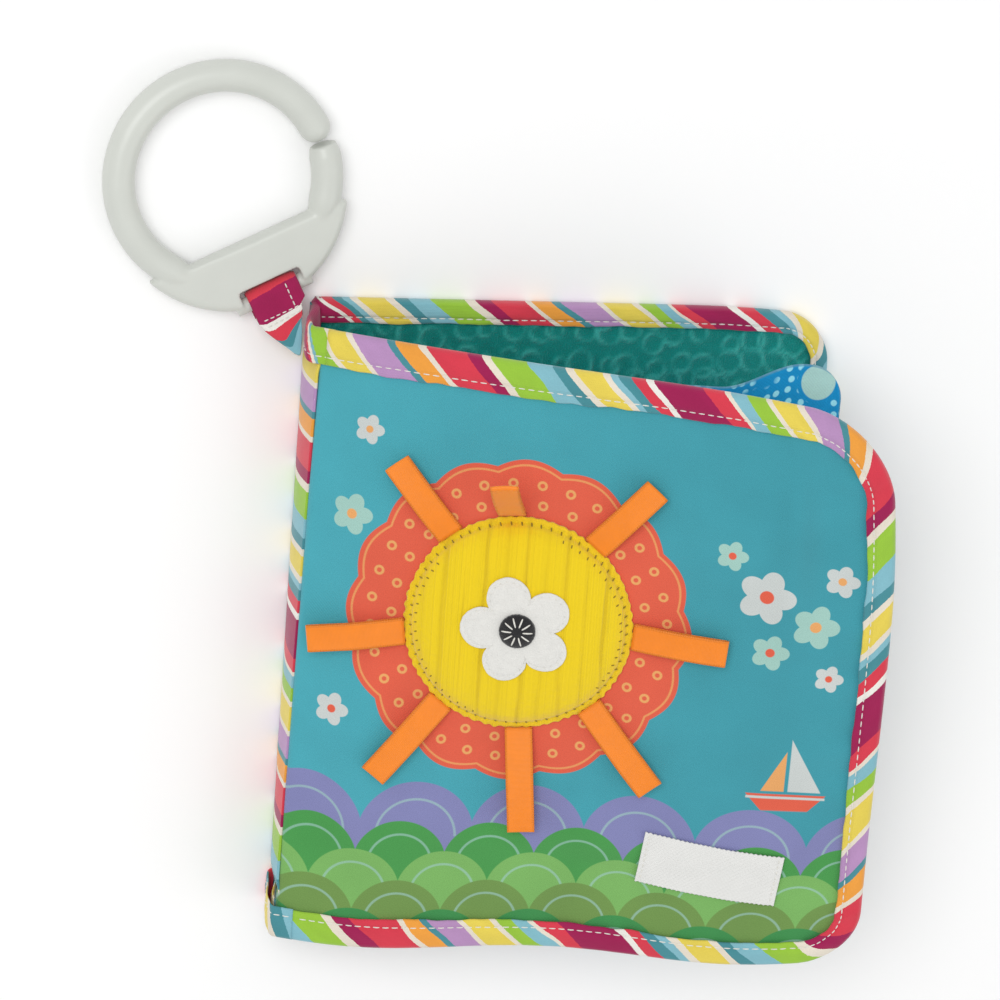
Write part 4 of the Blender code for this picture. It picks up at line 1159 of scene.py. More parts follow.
def thread(name, value):
    """Twisted sewing thread."""
    finish = Finish(name, 0.6, sheen=0.3, sheen_roughness=0.4, specular=0.3)
    a, b, c, vector = finish.solid()
    finish.raise_by(threads_at(a + b + c, THREAD_TWIST[0]) * THREAD_TWIST[1])
    return finish.done(grained(finish, finish.colour(value), vector, (0.8, 2.0, 0, 0.85, 1.08)))


def wadding():
    finish = Finish("polyester wadding", 1.0, sheen=0.3, sheen_roughness=0.7, specular=0.1)
    vector = finish.solid()[-1]
    return finish.done(grained(finish, finish.colour(WADDING_WHITE), vector, (0.7, 6.0, 0.0006, 0.8, 1.05)))


def crinkle_film():
    """Thin plastic film, creased into flat cells, its creases darkened with painted shade."""
    finish = Finish("crinkle film", 0.28, specular=0.6)
    vector = finish.solid()[-1]
    creases = finish.node("ShaderNodeTexVoronoi", Vector=vector, Scale=CREASE_SCALE)
    creases.feature = "DISTANCE_TO_EDGE"
    edge = Wire(finish.tree, creases.outputs["Distance"])
    finish.raise_by(edge.least(CREASE) * CREASE_HEIGHT)
    rough = finish.grain(vector, 5.0, 2.0) * 0.2 + 0.2
    # Painted shade: the film is darker along its creases
    return finish.done(finish.tinted(finish.colour(FILM_GREY), 0.92, 1.04, edge.rise(0.0, CREASE)), rough)


def ring_plastic():
    """Off-white moulded plastic: satin skin, faint mottling and slightly uneven gloss."""
    finish = Finish("ring plastic", 0.34, specular=0.5)
    vector = finish.solid()[-1]
    finish.raise_by(finish.grain(vector, 0.5, 3.0) * 0.000018)
    ground = finish.colour(bpy.context.scene.book_ring.plastic)
    colour = grained(finish, ground, vector, (9.0, 3.0, 0.00006, 0.95, 1.03))
    return finish.done(colour, finish.grain(vector, 2.2, 4.0) * 0.10 + 0.30)


def back_cotton():
    return spotted_cotton("spotted back cotton", bpy.context.scene.book_print.ground, PALE, 13.0, 1.0)


MAKERS = {
    "printed_panel": printed_panel,
    "back_cotton": back_cotton,
    "page_cotton": lambda: spotted_cotton("spotted page cotton", PAGE_GROUND, PAGE_SPOT, 9.0, 1.1),
    "plain_cotton": plain_cotton,
    "striped_tape": striped_tape,
    "dotted_cotton": dotted_cotton,
    "embossed_plush": embossed_plush,
    "ribbed_plush": ribbed_plush,
    "white_felt": lambda: felt("white felt", FELT_WHITE, 0.86, 1.05),
    "black_felt": lambda: felt("black felt", FELT_BLACK, 0.6, 1.8),
    "satin": satin,
    "woven_label": woven_label,
    "white_thread": lambda: thread("white thread", THREAD_WHITE),
    "brown_thread": lambda: thread("brown thread", THREAD_BROWN),
    "wadding": wadding,
    "crinkle_film": crinkle_film,
    "ring_plastic": ring_plastic,
}
MADE = {}


def finish_of(name):
    """A material, made the first time that it is asked for."""
    if name not in MADE:
        MADE[name] = MAKERS[name]()
    return MADE[name]


# Covers

PANEL_GRID = (200, 212)
INNER_GRID = (120, 128)
PLUSH_GRID = (190, 220)
LEAF_GRID = (150, 160)
FOLD_ROUND = 0.0019
BACK_START = 0.0022
LINING_START = 0.0024
LINING_WAVE = 0.0003
LINING_WAVE_SIZE = 0.0165
NAP_PITCH = 0.0064
NAP_RING = 0.0026
NAP_RING_SPREAD = 0.22
NAP_RIDGE = 0.00048
NAP_HEIGHT = 0.0006
NAP_JITTER = 0.24
NAP_WOBBLE = 0.0005
NAP_BREAK = 0.38
NAP_LEAST = 0.25
NAP_MIX = (12.99, 78.23, 43.7)
NAP_OTHER_MIX = (39.35, 11.14, 51.9)
# Share of a layer's thickness that its cloth fills
LINING_FILL = 0.8
PLUSH_FILL = 0.75


def fold_shift(q):
    """How far the front panel's fold stands off its hinge, from tail to head."""
    return FOLD_TAIL_SHIFT + (FOLD_HEAD_SHIFT - FOLD_TAIL_SHIFT) * FRONT_BOARD.to_head(q)


def front_place(s, q, n):
    """A point of the front panel, with its fold rolled down to the spine strip."""
    roll = np.clip(1 - s / FOLD_ROUND, 0, 1)
    drop = FOLD_ROUND * (1 - np.sqrt(1 - roll**2))
    points = FRONT_BOARD.place(s, q, n - drop)
    points[..., 0] += fold_shift(q) * (1 - ease(s / FOLD_REACH))
    return points


def make_panel():
    s, q = FRONT_BOARD.pattern(*PANEL_GRID, CLOTH_INSET, 0.0)
    top = panel_top(s, q)
    cloth = stacked(s, q)
    over = front_place(s, q, top)
    item = layer("front_panel", over, front_place(s, q, top - CLOTH), "printed_panel", cloth)
    dress(item, "front_cover", ["front_cover_panel"])


def make_lining():
    s, q = FRONT_BOARD.pattern(*INNER_GRID, CLOTH_INSET, LINING_START)
    bound = FRONT_DROP - TAPE_INSIDE - CLOTH - EDGE_GAP - LINING
    middle = FRONT_DROP - FRONT_UNDER + LINING_WAVE * soft_noise(s, q, LINING_WAVE_SIZE, 11)
    under_n = bound + (middle - bound) * FRONT_BOARD.crown(s, q)
    over_n = under_n + LINING * LINING_FILL
    item = laid_sheet("front_lining", FRONT_BOARD, s, q, over_n, under_n, "page_cotton")
    dress(item, "front_cover", ["front_cover_lining"])


def make_back_cloth():
    s, q = BACK_BOARD.pattern(*INNER_GRID, CLOTH_INSET, BACK_START)
    under_n = TAPE_INSIDE * (1 - BACK_BOARD.crown(s, q, False))
    item = laid_sheet("back_cloth", BACK_BOARD, s, q, under_n + CLOTH, under_n, "back_cotton")
    dress(item, "back_cover", ["back_cover_outer"])


def cell_mix(column, row, mix):
    """A number that differs from cell to cell."""
    return np.sin(column * mix[0] + row * mix[1]) * mix[2]


def embossing(s, q):
    """Pressed rings on a jittered grid: 1 on a ring's ridge, 0 between the rings."""
    wobble_s = s + NAP_WOBBLE * soft_noise(s, q, NAP_PITCH / 2, 21)
    wobble_q = q + NAP_WOBBLE * soft_noise(s, q, NAP_PITCH / 2, 22)
    best = np.zeros_like(s)
    for step_s, step_q in itertools.product((-1, 0, 1), repeat=2):
        cell_s = np.floor(wobble_s / NAP_PITCH) + step_s
        cell_q = np.floor(wobble_q / NAP_PITCH) + step_q
        mix = cell_mix(cell_s, cell_q, NAP_MIX)
        other = cell_mix(cell_s, cell_q, NAP_OTHER_MIX)
        across = wobble_s - (cell_s + 0.5 + NAP_JITTER * np.sin(mix)) * NAP_PITCH
        away = wobble_q - (cell_q + 0.5 + NAP_JITTER * np.cos(other)) * NAP_PITCH
        radius = NAP_RING * (1 + NAP_RING_SPREAD * np.sin(mix + other))
        broken = 1 - NAP_BREAK + NAP_BREAK * np.sin(np.arctan2(away, across) * 2 + other)
        ridge = bell(np.hypot(across, away) - radius, NAP_RIDGE)
        best = np.maximum(best, ridge * np.maximum(broken, NAP_LEAST))
    return best


def make_plush():
    s, q = BACK_BOARD.pattern(*PLUSH_GRID, CLOTH_INSET, BACK_START)
    under_n = BACK_EDGE + (BACK_MIDDLE - BACK_EDGE) * BACK_BOARD.crown(s, q)
    relief = embossing(s, q)
    free = ease(np.minimum(BACK_BOARD.half - np.abs(q), BACK_BOARD.width - s) / TAPE_FACE)
    over_n = under_n + PLUSH * PLUSH_FILL + NAP_HEIGHT * relief * free
    # The third cloth coordinate is the ridge mask that the plush's material paints paler as a painted
    # highlight
    cloth = (s, q, relief / MILLIMETRES)
    item = laid_sheet("back_plush", BACK_BOARD, s, q, over_n, under_n, "embossed_plush", cloth)
    dress(item, "back_cover", ["back_cover_plush"])


# Striped tape

TAPE_STATION = 0.0014
TAPE_LIP = 0.0004
TAPE_LIP_LOOSE = 0.2
TAPE_EDGE_START = 0.0018
TAPE_OVER = 0.0001
TAPE_PUFF = 0.00042
SEAM_INSET = 0.0018
SEAM_HALF = 0.0005
SEAM_DENT = 0.00034
FACE_STEPS = 16
TURN_STEPS = 8
LIP_STEPS = 4
CRIMP_HEIGHT = 0.00032
CRIMP_SIZE = 0.0045
CRIMP_CORNER = 0.00055
CRIMP_CORNER_SIZE = 0.0022
CRIMP_STRETCH = 0.6
CORNER_LEAN = 0.25
CORNER_STRETCH = 0.35
LIP_WANDER = 0.00055
LIP_WAVE = 0.0130
FIRST_STITCH = 0.2
STITCH_LIFT = 0.00010
STITCH_SWAY = 0.00012
STITCH_SWAY_SIZE = 0.02
# Widths of the tape's face at the spine, where the corners start and end, and at the spine again
FRONT_FACES = (0.0085, 0.0080, 0.0068, 0.0064, 0.0066, 0.0083)
BACK_FACES = (0.0058, 0.0052, 0.0047, 0.0054, 0.0056, 0.0056)
TAPE_START = 0.0034
# Where a place along the tape, from the spine's head, takes its colour from in the order of stripes
FRONT_STRIPES = (
    (0.0, 0.0012), (0.0016, 0.0045), (0.0088, 0.0168), (0.0177, 0.0250), (0.0376, 0.0460),
    (0.0535, 0.0627), (0.0720, 0.0827), (0.0980, 0.1122), (0.1148, 0.1273), (0.1225, 0.1377),
    (0.1348, 0.1478), (0.1443, 0.1568), (0.1605, 0.1688), (0.1854, 0.1919), (0.2083, 0.2144),
    (0.2290, 0.2350), (0.2556, 0.2605), (0.2909, 0.2916), (0.3035, 0.2987), (0.3824, 0.3748),
    (0.4053, 0.4024), (0.4264, 0.4215), (0.4460, 0.4420),
)
BACK_STRIPES = (
    (0.0, 0.1040), (0.0044, 0.0969), (0.0098, 0.0874), (0.0214, 0.0755), (0.0332, 0.0627),
    (0.0490, 0.0460), (0.0652, 0.0274), (0.0767, 0.0168), (0.0921, 0.0), (0.1129, -0.0249),
    (0.1274, -0.0375), (0.1478, -0.0537), (0.4700, -0.3800),
)
STRIPE_LEAN = 0.95
LEAN_START = 0.35
LEAN_RUN = 0.016
LEAN_SWAY = 0.22
LEAN_SWAY_SIZE = 0.017
LEAN_WANDER = 0.0010
LEAN_WANDER_SIZE = 0.008
LEAN_STRETCH = 0.8


def tape_section(low, high):
    """The folded tape's section: inward distance, height, and how far a point may pucker, with its sign."""
    half = (high - low) / 2
    middle = (low + high) / 2
    section = []
    for side in (1, -1):
        face = high if side > 0 else low
        outer = []
        for step in range(LIP_STEPS):
            turn = math.pi / 2 * (1 - 2 * step / LIP_STEPS)
            inward = TAPE_FACE + TAPE_LIP * math.cos(turn)
            outer.append((inward, face - side * TAPE_LIP * (1 + math.sin(turn)), TAPE_LIP_LOOSE))
        for step in range(FACE_STEPS + 1):
            share = step / FACE_STEPS
            inward = TAPE_FACE + (TAPE_EDGE_START - TAPE_FACE) * share
            puff = TAPE_PUFF * math.sin(math.pi * share)
            dent = SEAM_DENT * bell(inward - TAPE_FACE + SEAM_INSET, SEAM_HALF)
            outer.append((inward, face + side * (puff - dent), min(1.0, 4 * share)))
        for step in range(1, TURN_STEPS):
            turn = math.pi / 2 * step / TURN_STEPS
            inward = TAPE_EDGE_START - (TAPE_EDGE_START + TAPE_OVER) * math.sin(turn)
            outer.append((inward, face - side * half * (1 - math.cos(turn)), 1 - step / TURN_STEPS))
        outer = [(inward, height, side * loose) for inward, height, loose in outer]
        section += outer + [(-TAPE_OVER, middle, 0.0)] if side > 0 else outer[::-1]
    inside = TAPE_FACE - TAPE_LIP
    channel = [(inside, low + TAPE, 0.0), (TAPE_EDGE_START, low + TAPE, 0.0), (0.0, middle, 0.0)]
    channel += [(TAPE_EDGE_START, high - TAPE, 0.0), (inside, high - TAPE, 0.0)]
    return np.array(section + channel), len(section)


def section_width(section, count):
    """Distance across the tape at each point of its section, from its upper lip."""
    steps = np.hypot(np.diff(section[:, 0]), np.diff(section[:, 1]))
    width = np.concatenate([[0.0], np.cumsum(steps)])
    ends = [section[count - 1, 1], section[0, 1]]
    width[count:] = np.interp(section[count:, 1], ends, [width[count - 1], 0])
    return width


def crimps(along, width, corner, seed):
    """Small gathers of the tape, closer and higher where it goes round a corner."""
    height = CRIMP_HEIGHT * soft_noise(along, width * CRIMP_STRETCH, CRIMP_SIZE, seed)
    tight = soft_noise(along + width * CORNER_LEAN, width * CORNER_STRETCH, CRIMP_CORNER_SIZE, seed + 1)
    return height + CRIMP_CORNER * corner * tight


def tape_inward(board, along, inward, faces):
    """Distances in from the edge, narrowed where the tape's face is narrower than at the spine's head."""
    face = np.interp(along, (0.0,) + board.edge_marks(), faces)
    return np.where(inward > 0, inward * face / TAPE_FACE, inward)


def make_binding(name, board, body, low, high, stripe, faces, seed, node, lowest):
    """The folded tape round head, fore edge and tail, with a row of topstitches on each face."""
    section, count = tape_section(low, high)
    width = section_width(section, count)
    length_sewn = board.edge_marks()[-1] - 2 * TAPE_START
    along = np.linspace(TAPE_START, TAPE_START + length_sewn, int(length_sewn / TAPE_STATION))
    across = width[None, :] + 0 * along[:, None]
    spread = along[:, None] + 0 * across
    wander = line_noise(along, CRIMP_SIZE, seed + 2)
    wander = wander + line_noise(along, LIP_WAVE, seed + 3)
    to_lip = np.clip(section[None, :, 0] / TAPE_FACE, 0, 1) ** 4
    inward = section[None, :, 0] + LIP_WANDER * wander[:, None] * to_lip
    rise = section[None, :, 2] * crimps(spread, across, board.corner_share(spread), seed)
    s, q = board.edge_at(spread, tape_inward(board, spread, inward, faces))
    rings = board.place(s, q, np.maximum(section[None, :, 1] + rise, lowest))
    cloth = stacked(stripe(spread, section[None, :, 0]), across)
    item = dress(swept(name, rings, "striped_tape", cloth), body, [node])
    stitches = binding_stitches(name + "_stitches", board, section, width, faces, seed, lowest)
    dress(stitches, body)
    2 * sum(faces) / len(faces) + high - low


def binding_stitches(name, board, section, width, faces, seed, lowest):
    """Topstitches near the tape's lips, lying on its puckers."""
    cloth = bpy.context.scene.book_cloth
    count = int((board.edge_marks()[-1] - 2 * TAPE_START) / cloth.stitch_pitch)
    first = TAPE_START + cloth.stitch_pitch * (np.arange(count) + FIRST_STITCH)
    inward = TAPE_FACE - SEAM_INSET + STITCH_SWAY * line_noise(first, STITCH_SWAY_SIZE, 31)
    starts, ends, ups = [], [], []
    for side in (1, -1):
        rows = np.flatnonzero(np.sign(section[:, 2]) == side)
        nearest = rows[np.argmin(np.abs(section[rows, 0] - TAPE_FACE + SEAM_INSET))]

        def at(along, lift, floor=lowest + cloth.thread):
            corner = board.corner_share(along)
            rise = section[nearest, 2] * crimps(along, width[nearest] + 0 * along, corner, seed)
            n = np.maximum(section[nearest, 1] + rise + side * lift, floor)
            return board.place(*board.edge_at(along, tape_inward(board, along, inward, faces)), n)

        starts.append(at(first, STITCH_LIFT))
        ends.append(at(first + cloth.stitch_length, STITCH_LIFT))
        ups.append(at(first, EDGE_GAP, -TAPE_FACE) - at(first, 0.0, -TAPE_FACE))
    return stitch_row(name, starts, ends, ups, cloth.thread)


def leaning(along, inward, seed):
    """How far the stripes have run on at a distance in from the tape's edge."""
    lean = LEAN_START + (STRIPE_LEAN - LEAN_START) * ease(along / LEAN_RUN)
    lean = lean + LEAN_SWAY * line_noise(along, LEAN_SWAY_SIZE, seed)
    wander = LEAN_WANDER * soft_noise(along, inward * LEAN_STRETCH, LEAN_WANDER_SIZE, seed + 1)
    return np.clip(inward, 0, None) * lean + wander


def front_stripe(along, inward):
    """Stripe coordinate of the front tape, leaning on from its outer edge to its lips."""
    return np.interp(along - leaning(along, inward, 43), *zip(*FRONT_STRIPES))


def back_stripe(along, inward):
    return np.interp(along - leaning(along + LEAN_RUN, inward, 53), *zip(*BACK_STRIPES))


def make_bindings():
    make_binding("front_binding", FRONT_BOARD, "front_cover", FRONT_DROP - FRONT_EDGE, FRONT_DROP,
                 front_stripe, FRONT_FACES, 41, "front_cover_binding", -TAPE_FACE)
    make_binding("back_binding", BACK_BOARD, "back_cover", 0.0, BACK_TAPE_TOP,
                 back_stripe, BACK_FACES, 51, "back_cover_binding", 0.0)


# Spine

STRIP_GRID = (180, 30)
SPINE_LOW_Y = BACK_SHIFT_Y - BACK_HEIGHT / 2
SPINE_HIGH_Y = FRONT_HEIGHT / 2 + BACK_SHIFT_Y / 2
SPINE_SLANT = 0.08
SPINE_STRIPE_START = -0.0034
STRIP_FOLD_SHARE = 0.45
STRIP_WAVE = 0.0003
STRIP_WAVE_SIZE = 0.014
STRIP_BOW = 0.0012
STRIP_FOOT_X = -0.0712
STRIP_FOOT_Z = 0.0003
STRIP_TRIM = 0.0055
STRIP_TUCK = 0.0014
STRIP_CLOTH = CLOTH * 0.8
HEADBAND_STEPS = 9
HEADBAND_BULGE = {1: 0.0027, -1: 0.0011}
HEADBAND_FOOT_X = {1: -0.0704, -1: -0.0724}
HEADBAND_ROUND = 0.0026
HEADBAND_INNER_ROUND = 0.0012
HEADBAND_THICKNESS = 0.0020
HEADBAND_REACH = 0.0046
HEADBAND_BOW = 0.0004
HEADBAND_FOOT_RISE = 0.0008
HEADBAND_PROUD = 0.00008
HEADBAND_CORNER = 0.5
HEADBAND_FIRST_STITCH = 0.4
HEADBAND_STITCH_LIFT = 0.5
HEADBAND_AXIS = np.array([FRONT_HINGE_X + 0.004, 0.0, 0.010])
HEAD_TURN_STRIPES = (
    (-0.0046, 0.0099), (-0.0016, 0.0045), (0.0026, 0.0002), (0.0031, -0.0044), (0.0043, -0.0060),
    (0.0046, -0.0108), (0.0250, -0.0200),
)
TAIL_STRIPE_END = 0.4425


def to_front(item):
    """Bakes a piece of the spine's placement into its mesh."""
    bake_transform(item)


def make_spine_strip():
    """The striped strip up the back of the book, bowed out and sewn in under the front panel's fold."""
    y, share = np.meshgrid(
        np.linspace(SPINE_LOW_Y + STRIP_TRIM, SPINE_HIGH_Y - STRIP_TRIM, STRIP_GRID[0]),
        np.linspace(0, 1, STRIP_GRID[1]), indexing="ij",
    )
    top_z = FRONT_HINGE_Z - FOLD_ROUND * STRIP_FOLD_SHARE
    z = STRIP_FOOT_Z + (top_z - STRIP_FOOT_Z) * share
    top_x = FRONT_HINGE_X + fold_shift(y)
    bow = np.sin(math.pi * share) * (STRIP_BOW + STRIP_WAVE * soft_noise(y, z, STRIP_WAVE_SIZE, 61))
    free = ease((SPINE_HIGH_Y - y - STRIP_TRIM) / TAPE_FACE)
    free = free * ease((y - SPINE_LOW_Y - STRIP_TRIM) / TAPE_FACE)
    x = STRIP_FOOT_X + (top_x - STRIP_FOOT_X) * share**2 - bow * free + STRIP_TUCK * (1 - free)
    stripe = SPINE_STRIPE_START + (SPINE_HIGH_Y - y - SPINE_SLANT * z) / SPINE_WIDTH_SCALE
    over = stacked(x, y, z)
    under = stacked(x + STRIP_CLOTH, y, z)
    item = layer("spine_cover", over, under, "striped_tape", stacked(stripe, z))
    dress(item, None, ["spine_strip"])
    to_front(item)
    top_z - TAPE_INSIDE


def headband_path(side):
    """The outer and inner line that the tape follows round one end of the spine, front to back."""
    q = side * FRONT_BOARD.half
    run = HEADBAND_REACH * np.linspace(1, 0, HEADBAND_STEPS)
    top = FRONT_BOARD.place(run, q + 0 * run, FRONT_DROP + HEADBAND_PROUD)
    top[:, 0] += fold_shift(q) * (1 - ease(run / FOLD_REACH))
    under = FRONT_BOARD.place(run, q + 0 * run, FRONT_DROP - FRONT_EDGE - HEADBAND_PROUD)
    share = np.linspace(0, 1, HEADBAND_STEPS)[1:]
    sine = np.sin(math.pi / 2 * share)
    fall = 1 - np.cos(math.pi / 2 * share)
    outer_x = top[-1, 0] - HEADBAND_BULGE[side]
    inner_x = outer_x + HEADBAND_THICKNESS
    outer_z = top[-1, 2] - HEADBAND_ROUND
    inner_z = under[-1, 2] - HEADBAND_INNER_ROUND
    foot_x = HEADBAND_FOOT_X[side]
    end_x = foot_x + HEADBAND_THICKNESS
    foot_z = BACK_TAPE_TOP + HEADBAND_FOOT_RISE
    rest_z = BACK_TAPE_TOP + HEADBAND_PROUD
    drift = (foot_x - outer_x) * ease(share) - HEADBAND_BOW * np.sin(math.pi * share)
    last_x = end_x + (FRONT_HINGE_X + HEADBAND_REACH - end_x) * share
    outer = (
        (top[:, 0], top[:, 2]),
        (top[-1, 0] - HEADBAND_BULGE[side] * sine, top[-1, 2] - HEADBAND_ROUND * fall),
        (outer_x + drift, outer_z + (HEADBAND_ROUND - outer_z) * share),
        (foot_x + HEADBAND_THICKNESS * fall, HEADBAND_ROUND * (1 - sine)),
        (last_x, 0 * share),
    )
    inner = (
        (under[:, 0], under[:, 2]),
        (inner_x + (under[-1, 0] - inner_x) * (1 - sine), under[-1, 2] - HEADBAND_INNER_ROUND * fall),
        (inner_x + drift, inner_z + (foot_z - inner_z) * share),
        (end_x + 0 * share, rest_z + HEADBAND_FOOT_RISE * (1 - sine)),
        (last_x, rest_z + 0 * share),
    )
    return [np.concatenate([stacked(*stretch) for stretch in line]) for line in (outer, inner)]


def headband_y(side, count):
    """Where the tape's outer edge lies at each station round the spine's end."""
    station = np.arange(count)
    share = ease((station - HEADBAND_STEPS) / (count - 2 * HEADBAND_STEPS))
    run = HEADBAND_REACH * np.clip(1 - station / (HEADBAND_STEPS - 1), 0, 1)
    front_y = FRONT_BOARD.y_at(run, side * FRONT_BOARD.half)
    back_y = BACK_BOARD.y_at(0.0, side * BACK_BOARD.half)
    return front_y + (back_y - front_y) * share


def make_headband(name, side, node):
    """The tape where it turns round one end of the spine, from the front cover's edge to the back cover's."""
    outer, inner = headband_path(side)
    half = FRONT_EDGE / 2
    section, count = tape_section(-half, half)
    inward = section[None, :, 0]
    steps = np.linalg.norm(np.diff(outer, axis=0), axis=1)
    along = HEADBAND_REACH - np.concatenate([[0.0], np.cumsum(steps)])
    width = section_width(section, count)[None, :] + 0 * along[:, None]
    spread = along[:, None] + 0 * width
    crimp = section[None, :, 2] * crimps(spread, width, HEADBAND_CORNER + 0 * spread, 71 + side)
    level = (section[None, :, 1] + crimp) / (2 * half) + 0.5
    plane = inner[:, None, :] + (outer - inner)[:, None, :] * level[..., None]
    y = headband_y(side, len(outer))[:, None] - side * inward
    rings = stacked(plane[..., 0], y, np.maximum(plane[..., 1], 0.0))
    lean = LEAN_START * np.clip(inward, 0, None)
    if side > 0:
        turned = np.interp(lean - spread, *zip(*HEAD_TURN_STRIPES))
    else:
        turned = TAIL_STRIPE_END - spread - lean
    item = swept(name, rings, "striped_tape", stacked(turned, width))
    dress(item, None, [node])
    to_front(item)
    upper = np.flatnonzero(section[:, 2] > 0)
    nearest = upper[np.argmin(np.abs(section[upper, 0] - TAPE_FACE + SEAM_INSET))]
    seam = rings[rings[:, nearest, 2] > bpy.context.scene.book_cloth.thread, nearest]
    stitches = headband_stitches(name + "_stitches", seam)
    2 * TAPE_FACE + FRONT_EDGE


def headband_stitches(name, seam):
    """Topstitches along a line of points on the outer face of the tape round one end of the spine."""
    cloth = bpy.context.scene.book_cloth
    marks = np.concatenate([[0.0], np.cumsum(np.linalg.norm(np.diff(seam, axis=0), axis=1))])
    start = cloth.stitch_pitch * HEADBAND_FIRST_STITCH
    first = np.arange(start, marks[-1] - cloth.stitch_length, cloth.stitch_pitch)

    def at(distance):
        return stacked(*(np.interp(distance, marks, seam[:, axis]) for axis in range(3)))

    starts = at(first)
    ends = at(first + cloth.stitch_length)
    run = ends - starts
    ups = stacked(run[:, 2], 0.0, -run[:, 0])
    outward = (starts - HEADBAND_AXIS) * np.array([1.0, 0.0, 1.0])
    ups *= np.sign((ups * outward).sum(axis=1, keepdims=True))
    lift = ups / np.linalg.norm(ups, axis=1, keepdims=True) * cloth.thread * HEADBAND_STITCH_LIFT
    item = stitch_row(name, starts + lift, ends + lift, ups, cloth.thread)
    dress(item, None)
    to_front(item)
    return item


# Inner layers

INNER_SCALE = 0.965
LINING_SCALE = 0.90
LINING_SHIFT = 0.0020
MERGE_DISTANCE = 1e-6
# Each kind: its finish, its slot, the cuts across each face, how far it crumples and at what size
INNER_KINDS = {
    "wadding": ("wadding", "wadding", 3, 0.00030, 0.006),
    "stuffing": ("wadding", "wadding", 3, 0.00025, 0.004),
    "film": ("crinkle_film", "crinkle_film", 4, 0.00016, 0.004),
    "lining": ("plain_cotton", "inner_cloth", 2, 0.00012, 0.005),
}
INNER_LAYERS = (
    ("front_wadding", "front_cover_wadding", "front_cover", "wadding"),
    ("back_wadding", "back_cover_wadding", "back_cover", "wadding"),
    ("patch_stuffing", "patch_filling", "front_cover", "stuffing"),
    ("front_film", "front_cover_crinkle_film", "front_cover", "film"),
    ("back_film", "back_cover_crinkle_film", "back_cover", "film"),
    ("leaf_film", "leaf_crinkle_film", "leaf", "film"),
    ("spine_inner_cloth", "spine_lining", "back_cover", "lining"),
)


def make_inner_layer(seed, name, node, body, kind):
    """A node's mesh, drawn in a little, cut finer and crumpled along its normals."""
    finish, slot, cuts, wander, size = INNER_KINDS[kind]
    scale, shift = (LINING_SCALE, LINING_SHIFT) if kind == "lining" else (INNER_SCALE, 0.0)
    working = bmesh.new()
    working.from_mesh(frame["nodes"][node].data)
    bmesh.ops.remove_doubles(working, verts=working.verts[:], dist=MERGE_DISTANCE)
    bmesh.ops.subdivide_edges(working, edges=working.edges[:], cuts=cuts, use_grid_fill=True)
    working.normal_update()
    middle = sum((vert.co for vert in working.verts), Vector()) / len(working.verts)
    for vert in working.verts:
        vert.co = middle + (vert.co - middle) * scale + Vector((shift, 0, 0))
    moves = []
    for vert in working.verts:
        place = vert.co / size + Vector((seed, 0, -seed))
        moves.append(vert.normal * (wander * noise.noise(place)))
    for vert, move in zip(working.verts, moves):
        vert.co += move
    mesh = mesh_of(name, working)
    mesh.shade_smooth()
    mesh.materials.clear()
    mesh.materials.append(finish_of(finish))
    item = dress(linked(name, mesh), body, [node])


def make_inner_layers():
    for seed, row in enumerate(INNER_LAYERS):
        make_inner_layer(seed, *row)


# Leaf

LEAF_CRINKLE = 0.00035
LEAF_SEAM = 0.0024
LEAF_SEAM_HALF = 0.0006
LEAF_SEAM_DENT = LEAF_FACE * 0.3
LEAF_FILL = 0.8


def leaf_height(s, q, side):
    share = ease((LEAF_BOARD.width - s) / SPINE_CROWN_WIDTH) * ease((LEAF_BOARD.half - q) / SPINE_CROWN_WIDTH)
    share = share * ease((LEAF_BOARD.half + q) / SPINE_CROWN_WIDTH) * ease(s / SPINE_CROWN_WIDTH)
    closed = LAYER_GAP / 4
    open_middle = LEAF_SLACK + FILM / 2 + LAYER_GAP
    edge = np.minimum(LEAF_BOARD.half - np.abs(q), LEAF_BOARD.width - s)
    seam = LEAF_SEAM_DENT * bell(edge - LEAF_SEAM, LEAF_SEAM_HALF)
    crinkle = LEAF_CRINKLE * soft_noise(s, q, FOLD_SIZE, 81) * share
    return side * (closed + (open_middle - closed) * share - seam) + crinkle


def make_leaf():
    s, q = LEAF_BOARD.pattern(*LEAF_GRID, 0.0, LEAF_ROOT_GAP)
    edge = np.ones_like(s)
    edge[-1, :] = edge[:, 0] = edge[:, -1] = 0
    cloth = (s, q, edge / MILLIMETRES)
    for name, side, node in (("leaf_front", 1, "leaf_front_face"), ("leaf_back", -1, "leaf_back_face")):
        near = leaf_height(s, q, side)
        far = near + side * LEAF_FACE * LEAF_FILL
        over_n, under_n = np.maximum(near, far), np.minimum(near, far)
        item = laid_sheet(name, LEAF_BOARD, s, q, over_n, under_n, "dotted_cotton", cloth)
        dress(item, "leaf", [node])


# Round patch

PATCH_GRID = 150
STITCH_RADII = (0.0274, 0.0260)
FURROW_WIDTH = 0.00050
FURROW_SWAY = 0.0007
FURROW_SWAY_STRETCH = 1.5
FURROW_SWAY_SIZE = 0.012
FURROW_START = 0.25
FAINT_FURROW = 0.4
FURROW_FADE = 0.35
FURROW_FADE_STRETCH = (1.2, 0.5)
FURROW_FADE_SIZE = 0.009
FURROW_LEAST = 0.1
RIB_LIFT = 0.5
RIM_BAND = 0.0022
RIM_SAG_START = 0.93
PATCH_PUFF = 0.0003
PATCH_PUFF_SIZE = 0.0016
PATCH_PUFF_TURN = 0.01
PATCH_NAP = 0.00012
PATCH_NAP_SIZE = 0.0009
FRAY_SIZES = (0.045, 0.30)
FRAY_BUMP = 0.6
PATCH_LEAST = 0.0003
GROOVE = 0.00040
GROOVE_HALF = 0.0006
INNER_GROOVE_SHARE = 0.6
PATCH_STITCH = 0.0008
